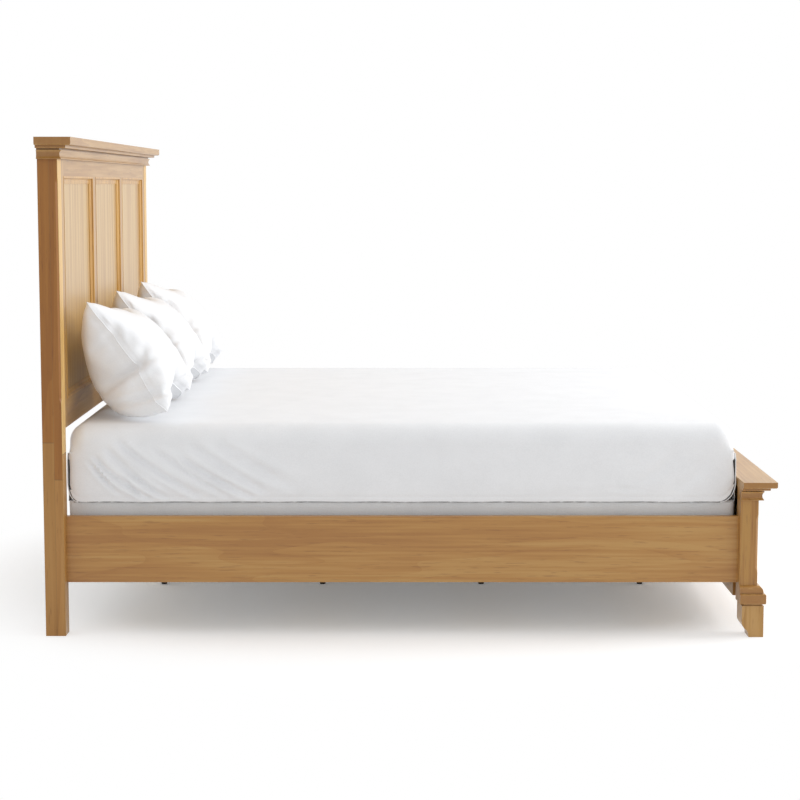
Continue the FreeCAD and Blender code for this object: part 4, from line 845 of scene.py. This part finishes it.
@dataclass
class FittedSheet:
    """The fitted sheet: taut over the top, with creases and a hem round its sides, and dark strips inside its corner
    hems that are painted shade.
    """

    edge: float = 50 * MM
    corner: float = 58 * MM
    tight: float = 13 * MM
    head_stretch: float = 3 * MM
    crown: float = 11 * MM
    cloth_thick: float = 1.4 * MM
    hem_high: float = 15 * MM
    hang: float = 6 * MM
    relief_limit: float = 10 * MM
    # The hem's line round a corner: how far it reaches in, how high, and the gap inside it.
    head_curve: tuple[float, float, float] = (30 * MM, 60 * MM, 6 * MM)
    foot_curve: tuple[float, float, float] = (45 * MM, 62 * MM, 10 * MM)
    strip_rise: float = 150 * MM
    strip_deep: float = 5 * MM
    strip_thick: float = 2.6 * MM

    def build(self) -> None:
        """Builds the sheet as one cloth with a real thickness, the hems at its corners, and the dark strips inside
        them, which are painted shade for the gaps there.
        """
        low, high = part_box("fitted_sheet")
        low.z -= self.hang
        low.x -= self.head_stretch
        top = high - Vector((0, 0, self.crown))
        sheet = block("fitted_sheet_cloth", low, top)
        with editing(sheet):
            pick(sheet, "FACE", lambda face: face.normal.z < -0.9)
            bpy.ops.mesh.delete(type="FACE")
            pick(sheet, "EDGE", lambda edge: abs(edge.verts[0].co.z - edge.verts[1].co.z) > 0.1)
            bpy.ops.mesh.bevel(offset=self.corner, segments=10)
            pick(sheet, "EDGE", lambda edge: min(vert.co.z for vert in edge.verts) > top.z - 1e-4)
            bpy.ops.mesh.bevel(offset=self.corner - 1 * MM, segments=8)
            for axis, cuts in ((0, 240), (1, 44), (2, 46)):
                pick(sheet, "EDGE", lambda edge: self._runs(edge, axis))
                bpy.ops.mesh.subdivide(number_cuts=cuts)
        self._shape(sheet, low, top)
        finish_modifier(sheet, "SOLIDIFY", thickness=self.cloth_thick, offset=-1)
        smooth(sheet, 70)
        cotton = SHEET_COTTON.material()
        hand_over(sheet, "mattress", cotton)
        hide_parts("fitted_sheet")
        # Dark cloth for the strips inside the corner hems: painted shade for the gaps there.
        painted_gap = PAINTED_GAP_SHADE.material()
        hems = []
        for name, way in (("head_left", (-1, -1)), ("head_right", (-1, 1)),
                          ("foot_left", (1, -1)), ("foot_right", (1, 1))):
            for elastic, finish in ((False, cotton), (True, painted_gap)):
                hems.append(self._corner_hem(name, way, elastic, low, top))
                hand_over(hems[-1], "mattress", finish)

    def _runs(self, edge: bmesh.types.BMEdge, axis: int) -> bool:
        """Whether an edge runs straight along an axis, and is long."""
        way = edge.verts[1].co - edge.verts[0].co
        return abs(way[axis]) > 0.12 and way.length - abs(way[axis]) < 1e-5

    def _shape(self, sheet: bpy.types.Object, low: Vector, top: Vector) -> None:
        """Crowns the top and lays the creases and the hem on the sides."""
        places = points_of(sheet)
        # The cuts are moved together where the creases are.
        inner = (low.x + self.corner, top.x - self.corner)
        share = (places[:, 0] - inner[0]) / (inner[1] - inner[0])
        closer = np.interp(share, (0, 0.66, 0.86, 1), (0, 0.36, 0.88, 1))
        straight = (share > 0) & (share < 1)
        places[:, 0] = np.where(straight, inner[0] + closer * (inner[1] - inner[0]), places[:, 0])
        across = [(2 * (places[:, axis] - low[axis]) / (top[axis] - low[axis]) - 1) for axis in (0, 1)]
        dome = np.clip(1 - across[0] ** 4, 0, 1) * np.clip(1 - across[1] ** 2, 0, 1)
        upper = ease((places[:, 2] - low.z) / (top.z - low.z))
        height = places[:, 2].copy()
        shoulder = ease((top.z - height) / self.edge)
        for side, axis, other in ((-1, 1, 0), (1, 1, 0), (-1, 0, 1), (1, 0, 1)):
            limit = low[axis] if side < 0 else top[axis]
            near = ease(1 - np.abs(places[:, axis] - limit) / self.corner)
            picked = np.nonzero(near > 0)[0]
            along = places[picked, other]
            level = height[picked]
            folds = END_FOLDS if axis == 0 else HEAD_FOLDS + FOOT_FOLDS
            if axis == 1 and side > 0:
                along = along * 0.97
            relief = sum(fold.relief(along, level) for fold in folds)
            relief = relief - 0.0010 * np.exp(-((level - low.z - self.hem_high) / 0.004) ** 2)
            relief += 0.0012 * np.sin(along * 7 + 1) * np.sin(level * 19)
            if axis == 0:
                relief = np.minimum(relief, 1 * MM)
            # At its hem the cloth stays clear of the box spring.
            relief = np.maximum(relief, -3 * MM - 12 * MM * ease((level - low.z - 4 * MM) / 0.012))
            relief = self.relief_limit * np.tanh(relief / self.relief_limit)
            places[picked, axis] += side * near[picked] * shoulder[picked] * relief
        low_hem = ease(1 - (height - low.z) / 0.03)
        places[:, 2] += 0.0006 * low_hem * (1 + np.sin(places[:, 0] * 31 + places[:, 1] * 8))
        places[:, 2] += self.crown * dome * upper
        self._tighten(places, low, top, height)
        self._round_hem(places, low, top)
        move_points(sheet, places)

    def _round_hem(self, places: np.ndarray, low: Vector, top: Vector) -> None:
        """Rounds the lower corners of the long sides, where the sheet's elasticated corners lift the hem.

        Args:
            places: the sheet's vertices, which are changed.
            low: the sheet's lowest corner.
            top: the sheet's highest corner, without its crown.
        """
        side = np.minimum(places[:, 1] - low.y, top.y - places[:, 1])
        share = np.clip((top.z - places[:, 2]) / (top.z - low.z), 0, 1)
        for edge, (wide, tall, gap) in ((low.x, self.head_curve), (top.x, self.foot_curve)):
            outward = np.clip(1 - np.abs(places[:, 0] - edge) / (wide + gap), 0, 1)
            rise = (tall + 1.5 * gap) * (1 - np.sqrt(1 - outward ** 2))
            places[:, 2] += rise * share * ease(1 - (side - 0.004) / 0.012)

    def _tighten(self, places: np.ndarray, low: Vector, top: Vector, height: np.ndarray) -> None:
        """Draws the upright corners tight below, and leaves them round at the top.

        Args:
            places: the sheet's vertices, which are changed.
            low: the sheet's lowest corner.
            top: the sheet's highest corner, without its crown.
            height: the vertices' heights before the crown.
        """
        gap = self.corner - self.tight
        share = ease((top.z - height - 0.04) / 0.07)
        for way_x in (-1, 1):
            for way_y in (-1, 1):
                centre_x = top.x - self.corner if way_x > 0 else low.x + self.corner
                centre_y = top.y - self.corner if way_y > 0 else low.y + self.corner
                x, y = way_x * (places[:, 0] - centre_x), way_y * (places[:, 1] - centre_y)
                picked = np.nonzero((x > 0) & (y > 0) & (share > 0))[0]
                x, y = x[picked], y[picked]
                reach = np.hypot(x, y)
                sine, cosine = x / reach, y / reach
                middle = gap * (sine + cosine)
                arc = middle + np.sqrt(np.maximum(middle ** 2 - 2 * gap ** 2 + self.tight ** 2, 0))
                flat_side = self.corner / np.maximum(sine, cosine)
                on_side = self.corner * np.minimum(sine, cosine) / np.maximum(sine, cosine) < gap
                wanted = np.where(on_side, flat_side, arc)
                grown = 1 + (wanted / self.corner - 1) * share[picked]
                places[picked, 0] = centre_x + way_x * x * grown
                places[picked, 1] = centre_y + way_y * y * grown

    def _corner_hem(self, name: str, way: tuple[int, int], elastic: bool, low: Vector,
                    top: Vector) -> bpy.types.Object:
        """The turned hem that rises round a corner of the mattress, or the dark strip inside it, which is painted shade
        for the gap there.

        Args:
            name: which corner.
            way: the signs of X and Y towards the corner.
            elastic: whether to make the flat dark strip that fills the gap inside the hem, as painted shade.
            low: the sheet's lowest corner.
            top: the sheet's highest corner, without its crown.

        Returns:
            The hem or the dark painted-shade strip, as a thin strip.
        """
        bpy.ops.object.select_all(action="DESELECT")
        bpy.ops.mesh.primitive_grid_add(x_subdivisions=72, y_subdivisions=3, size=1)
        strip = bpy.context.active_object
        strip.name = f"fitted_sheet_{'elastic' if elastic else 'hem'}_{name}"
        flat = points_of(strip)
        share, deep = flat[:, 0] + 0.5, flat[:, 1] + 0.5
        wide, tall, gap = self.head_curve if way[0] < 0 else self.foot_curve
        turn = np.clip(share / 0.45, 0, 1) * math.pi / 2
        inward = wide * (1 - np.sin(turn))
        rise = tall * (1 - np.cos(turn)) + np.clip((share - 0.45) / 0.55, 0, 1) * (self.strip_rise - tall)
        tuck = 14 * MM * ease((share - 0.86) / 0.14)
        if elastic:
            # The dark strip is painted shade for the gap inside the hem. It lies across the gap, at right angles to the
            # hem's line.
            slope = np.hypot(tall * np.sin(turn), wide * np.cos(turn))
            width = gap * ease(share / 0.15) * (1 - 0.35 * ease((share - 0.6) / 0.4)) + 2 * MM
            inward = inward + deep * width * tall * np.sin(turn) / slope
            rise = rise + deep * width * wide * np.cos(turn) / slope
            behind = 3 * MM + tuck
        else:
            behind = 0.3 * MM + deep * self.strip_deep + tuck
        places = np.empty_like(flat)
        places[:, 0] = (top.x if way[0] > 0 else low.x) - way[0] * inward
        places[:, 1] = (top.y if way[1] > 0 else low.y) - way[1] * behind
        places[:, 2] = low.z + rise
        move_points(strip, places)
        finish_modifier(strip, "SOLIDIFY", thickness=1 * MM if elastic else self.strip_thick, offset=0)
        with editing(strip):
            bpy.ops.mesh.select_all(action="SELECT")
            bpy.ops.mesh.normals_make_consistent(inside=False)
        smooth(strip, 60)
        return strip


# ---------------------------------------------------------------------------
# Pillows
# ---------------------------------------------------------------------------

@dataclass
class Pillow:
    """A stuffed pillow: two cloths sewn together, blown up and laid back on the headboard."""

    node: str
    seed: int
    cut_wide: float = 0.690
    cut_tall: float = 0.505
    wide: float = 0.632
    tall: float = 0.420
    front: float = 0.082
    back: float = 0.168
    lean: float = math.radians(34)
    sag: float = 0.25
    bowed: float = 0.06
    plump: float = 0.72
    press: float = 8 * MM
    # Gathers that cross the end seams: their height, their lean and their depth.
    gathers: tuple[tuple[float, float, float], ...] = ((-0.040, 0.0, 0.015), (-0.138, -0.33, 0.012))
    gather_wide: float = 9 * MM
    # How deep the cloth is drawn in along both sides of the piping.
    stitched: float = 2 * MM
    ring: np.ndarray = field(default_factory=lambda: np.zeros(0))
    flop: float = 62 * MM
    sink: float = 8 * MM
    welt: float = 2.0 * MM
    rim: float = 5 * MM
    columns: int = 70
    rows: int = 52

    def build(self, material: bpy.types.Material) -> None:
        """Builds the pillow and the piping along its seam.

        Args:
            material: the pillows' cotton.
        """
        pad = self._bag()
        self._blow_up(pad)
        self._soothe(pad)
        self._fit(pad)
        seam = self._seam_line(pad)
        finish_modifier(pad, "SUBSURF", levels=1, render_levels=1)
        smooth(pad, 80)
        hand_over(pad, self.node, material)
        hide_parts(self.node)
        piping = tube(f"{self.node}_piping", seam, self.welt)
        hand_over(piping, self.node, material)

    def _bag(self) -> bpy.types.Object:
        """A flat bag of two cloths, joined along their edges."""
        bpy.ops.object.select_all(action="DESELECT")
        bpy.ops.mesh.primitive_grid_add(x_subdivisions=self.columns, y_subdivisions=self.rows, size=1)
        bag = bpy.context.active_object
        bag.name = f"{self.node}_pad"
        bag.scale = (self.cut_wide, self.cut_tall, 1)
        bpy.ops.object.transform_apply(location=True, rotation=True, scale=True)
        with editing(bag):
            bpy.ops.mesh.select_all(action="SELECT")
            bpy.ops.mesh.extrude_region_move(TRANSFORM_OT_translate={"value": (0, 0, self.rim)})
            bpy.ops.mesh.select_all(action="SELECT")
            bpy.ops.mesh.normals_make_consistent(inside=False)
        places = points_of(bag)
        across, up = 2 * places[:, 0] / self.cut_wide, 2 * places[:, 1] / self.cut_tall
        self.ring = np.rint(np.minimum((1 - np.abs(across)) * self.columns, (1 - np.abs(up)) * self.rows) / 2)
        places[:, 0] *= 1 + self.bowed * (1 - up ** 4)
        places[:, 1] *= 1 + np.where(up > 0, 2.0, 1.4) * self.bowed * (1 - np.abs(across) ** 3)
        move_points(bag, places)
        return bag

    def _blow_up(self, bag: bpy.types.Object) -> None:
        """Blows the bag up as cloth, so that it gathers along its seams."""
        cloth = bag.modifiers.new("Cloth", "CLOTH")
        settings = cloth.settings
        settings.quality = 6
        settings.mass = 0.25
        settings.tension_stiffness = 18
        settings.compression_stiffness = 4
        settings.shear_stiffness = 4
        settings.bending_stiffness = 0.15
        settings.use_pressure = True
        settings.uniform_pressure_force = 4.0
        settings.effector_weights.gravity = 0
        cloth.point_cache.frame_start = 1
        cloth.point_cache.frame_end = 24
        scene = bpy.context.scene
        for moment in range(1, 25):
            scene.frame_set(moment)
        select_only(bag)
        bpy.ops.object.modifier_apply(modifier=cloth.name)
        scene.frame_set(1)

    def _soothe(self, bag: bpy.types.Object) -> None:
        """Calms the small dents of the cloth away from its seam."""
        places = points_of(bag)
        half = np.abs(places[:, :2]).max(0)
        inward = (1 - np.abs(places[:, :2]) / half).min(1)
        group = bag.vertex_groups.new(name="inner")
        for index, share in enumerate(ease(inward / 0.22)):
            if share > 0:
                group.add([index], float(share), "REPLACE")
        finish_modifier(bag, "SMOOTH", factor=0.5, iterations=14, vertex_group="inner")

    def _fit(self, bag: bpy.types.Object) -> None:
        """Brings the pillow to its real size, gathers its seam, lays it back and sets it down."""
        places = points_of(bag)
        size = places.max(0) - places.min(0)
        middle = (places.max(0) + places.min(0)) / 2
        places = (places - middle) / size
        through, across, up = 2 * places[:, 2], places[:, 0] * self.wide, places[:, 1] * self.tall
        through = np.sign(through) * np.abs(through) ** self.plump
        depth = through * np.where(through > 0, self.front, self.back)
        depth = depth * (1 - self.sag * 2 * places[:, 1])
        own = np.stack([depth, across, up], axis=1)
        move_points(bag, own)
        self._gather(bag, own)
        self._bend_corners(own)
        turn = np.array(Matrix.Rotation(-self.lean, 3, "Y"))
        laid = own @ turn.T + self._seam_centre() - np.array((0, 0, self.sink))
        low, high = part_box(self.node)
        for axis in (0, 2):
            floor = low[axis] + self.press
            laid[:, axis] = np.where(laid[:, axis] < floor,
                                     low[axis] + self.press * np.exp((laid[:, axis] - floor) / self.press),
                                     laid[:, axis])
        move_points(bag, laid)

    def _gather(self, bag: bpy.types.Object, own: np.ndarray) -> None:
        """Draws the cloth in along the gathers that cross the two end seams."""
        normals = np.empty(len(own) * 3)
        bag.data.vertices.foreach_get("normal", normals)
        normals = normals.reshape(-1, 3)
        inward = self.wide / 2 - np.abs(own[:, 1])
        for height, slope, deep in self.gathers:
            off = own[:, 2] - height - slope * own[:, 0]
            groove = np.exp(-(off / self.gather_wide) ** 2) - 0.5 * np.exp(-((np.abs(off) - 0.020) / 0.010) ** 2)
            own -= normals * (deep * groove * np.exp(-np.maximum(inward - 0.05, 0) / 0.045))[:, None]
        own -= normals * np.where(self.ring == 1, self.stitched, 0)[:, None]

    def _bend_corners(self, own: np.ndarray) -> None:
        """Lets the far upper corner flop back, and turns the lower corners out on the bed."""
        across, up = 2 * own[:, 1] / self.wide, 2 * own[:, 2] / self.tall
        far = ease((across - 0.1) / 0.9) * ease((up - 0.1) / 0.9)
        own[:, 2] -= self.flop * far
        own[:, 1] -= 0.3 * self.flop * far
        own[:, 0] -= 0.4 * self.flop * far
        low = ease((np.abs(across) - 0.78) / 0.22) * ease((-up - 0.72) / 0.28)
        own[:, 0] += np.where(across < 0, 14, -34) * MM * low
        own[:, 2] += 8 * MM * low

    def _seam_centre(self) -> np.ndarray:
        """The middle of the seam's plane, from the four corners of the solid form."""
        corners = np.array([vert.co for vert in NODES[self.node].data.vertices])
        low, high = corners[:, 1].min(), corners[:, 1].max()
        ends = corners[(corners[:, 1] < low + 1 * MM) | (corners[:, 1] > high - 1 * MM)]
        return (ends.max(0) + ends.min(0)) / 2

    def _seam_line(self, bag: bpy.types.Object) -> list[Vector]:
        """The points along the middle of the bag's rim, in order round it."""
        places = points_of(bag)
        count = len(places) // 2
        columns, rows = self.columns + 1, self.rows + 1
        loop = [column for column in range(columns)]
        loop += [row * columns + columns - 1 for row in range(1, rows)]
        loop += [(rows - 1) * columns + column for column in range(columns - 2, -1, -1)]
        loop += [row * columns for row in range(rows - 2, 0, -1)]
        tops = self._partners(bag, loop)
        return [Vector((places[low] + places[high]) / 2) for low, high in zip(loop, tops)]

    def _partners(self, bag: bpy.types.Object, loop: list[int]) -> list[int]:
        """The vertex across the rim from each vertex of the loop."""
        wanted = set(loop)
        partner = {}
        for edge in bag.data.edges:
            first, second = edge.vertices
            if first in wanted and second not in wanted and second >= len(bag.data.vertices) // 2:
                partner[first] = second
            if second in wanted and first not in wanted and first >= len(bag.data.vertices) // 2:
                partner[second] = first
        return [partner.get(index, index) for index in loop]


# ---------------------------------------------------------------------------
# Camera, light and floor
# ---------------------------------------------------------------------------

@dataclass
class Studio:
    """The camera at the photograph's angle, soft light and a pale floor."""

    lens_mm: float = 88.97
    camera_place: tuple[float, float, float] = (-0.0275, -6.984, 1.374)
    camera_tilt: float = 83.793
    floor_reach: float = 60.0
    shadow_reach: tuple[float, float] = (1.12, 1.8)
    sky: float = 0.78

    def build(self) -> None:
        """Builds the camera, the lamps, the world and the floor."""
        self._camera()
        self._lamp("overhead_softbox", (0.2, -0.2, 4.2), (0.0, 0.0, 0.4), 4.0, 10)
        self._lamp("foot_softbox", (5.0, 0.2, 2.7), (-0.8, 0.0, 0.8), 3.0, 165)
        self._world()
        self._floor()
        bpy.context.scene.view_settings.view_transform = "Standard"

    def _camera(self) -> None:
        """The camera, level across and tilted a little down."""
        data = bpy.data.cameras.new("camera")
        data.lens = self.lens_mm
        data.sensor_width = 36
        camera = bpy.data.objects.new("camera", data)
        camera.location = self.camera_place
        camera.rotation_euler = (math.radians(self.camera_tilt), 0, 0)
        bpy.context.scene.collection.objects.link(camera)
        bpy.context.scene.camera = camera

    def _lamp(self, name: str, place: tuple, target: tuple, size: float, power: float) -> None:
        """A square softbox that faces a target."""
        data = bpy.data.lights.new(name, "AREA")
        data.shape = "SQUARE"
        data.size = size
        data.energy = power
        lamp = bpy.data.objects.new(name, data)
        lamp.location = place
        lamp.rotation_euler = (Vector(target) - Vector(place)).to_track_quat("-Z", "Y").to_euler()
        bpy.context.scene.collection.objects.link(lamp)

    def _seen(self, tree: bpy.types.NodeTree) -> bpy.types.NodeSocket:
        """1 for what the camera, a reflection or a pane of glass sees, and 0 for light."""
        path = add_node(tree, "ShaderNodeLightPath")
        seen = path.outputs["Is Camera Ray"]
        for name in ("Is Glossy Ray", "Is Transmission Ray"):
            seen = add_node(tree, "ShaderNodeMath", {"operation": "MAXIMUM"}, {
                0: seen, 1: path.outputs[name]}).outputs[0]
        return seen

    def _world(self) -> None:
        """A white world that lights the bed at a plain level."""
        world = bpy.data.worlds.new("studio")
        bpy.context.scene.world = world
        world.use_nodes = True
        tree = world.node_tree
        tree.nodes.clear()
        light = add_node(tree, "ShaderNodeBackground", links={"Color": grey(1), "Strength": self.sky})
        white = add_node(tree, "ShaderNodeBackground", links={"Color": grey(1), "Strength": 1.0})
        both = add_node(tree, "ShaderNodeMixShader", links={
            0: self._seen(tree), 1: light.outputs[0], 2: white.outputs[0]})
        add_node(tree, "ShaderNodeOutputWorld", links={"Surface": both.outputs[0]})

    def _floor(self) -> None:
        """A pale floor that keeps the bed's shadow and meets the background unseen."""
        bpy.ops.object.select_all(action="DESELECT")
        bpy.ops.mesh.primitive_plane_add(size=self.floor_reach, location=(0, 0, -0.0005))
        floor = bpy.context.active_object
        floor.name = "floor"
        material, tree, shader = new_material("studio_floor")
        tree.nodes.remove(shader)
        paint = add_node(tree, "ShaderNodeBsdfDiffuse", links={"Color": grey(0.9)})
        shown = add_node(tree, "ShaderNodeBsdfDiffuse", links={"Color": grey(1)})
        glow = add_node(tree, "ShaderNodeEmission", links={"Color": grey(1), "Strength": 0.16})
        lifted = add_node(tree, "ShaderNodeAddShader", links={0: shown.outputs[0], 1: glow.outputs[0]})
        white = add_node(tree, "ShaderNodeEmission", links={"Color": grey(1), "Strength": 1.0})
        place = add_node(tree, "ShaderNodeTexCoord").outputs["Object"]
        reach = add_node(tree, "ShaderNodeVectorMath", {"operation": "LENGTH"}, {0: place}).outputs["Value"]
        far = add_node(tree, "ShaderNodeMapRange", {"interpolation_type": "SMOOTHSTEP"}, {
            "Value": reach, "From Min": self.shadow_reach[0], "From Max": self.shadow_reach[1]}).outputs["Result"]
        fading = add_node(tree, "ShaderNodeMixShader", links={0: far, 1: lifted.outputs[0], 2: white.outputs[0]})
        both = add_node(tree, "ShaderNodeMixShader", links={
            0: self._seen(tree), 1: paint.outputs[0], 2: fading.outputs[0]})
        tree.links.new(both.outputs[0], tree.nodes["Material Output"].inputs["Surface"])
        floor.data.materials.append(material)


def main() -> None:
    """Builds the bed's looks in order."""
    logging.basicConfig(level=logging.INFO, format="%(message)s")
    Studio().build()
    BedFrame().dress()
    BoxSpring().build()
    Mattress().build()
    FittedSheet().build()
    cotton = PILLOW_COTTON.material()
    for seed, node in enumerate(("pillow_left", "pillow_center", "pillow_right")):
        Pillow(node, seed).build(cotton)


if __name__ == "__main__":
    main()
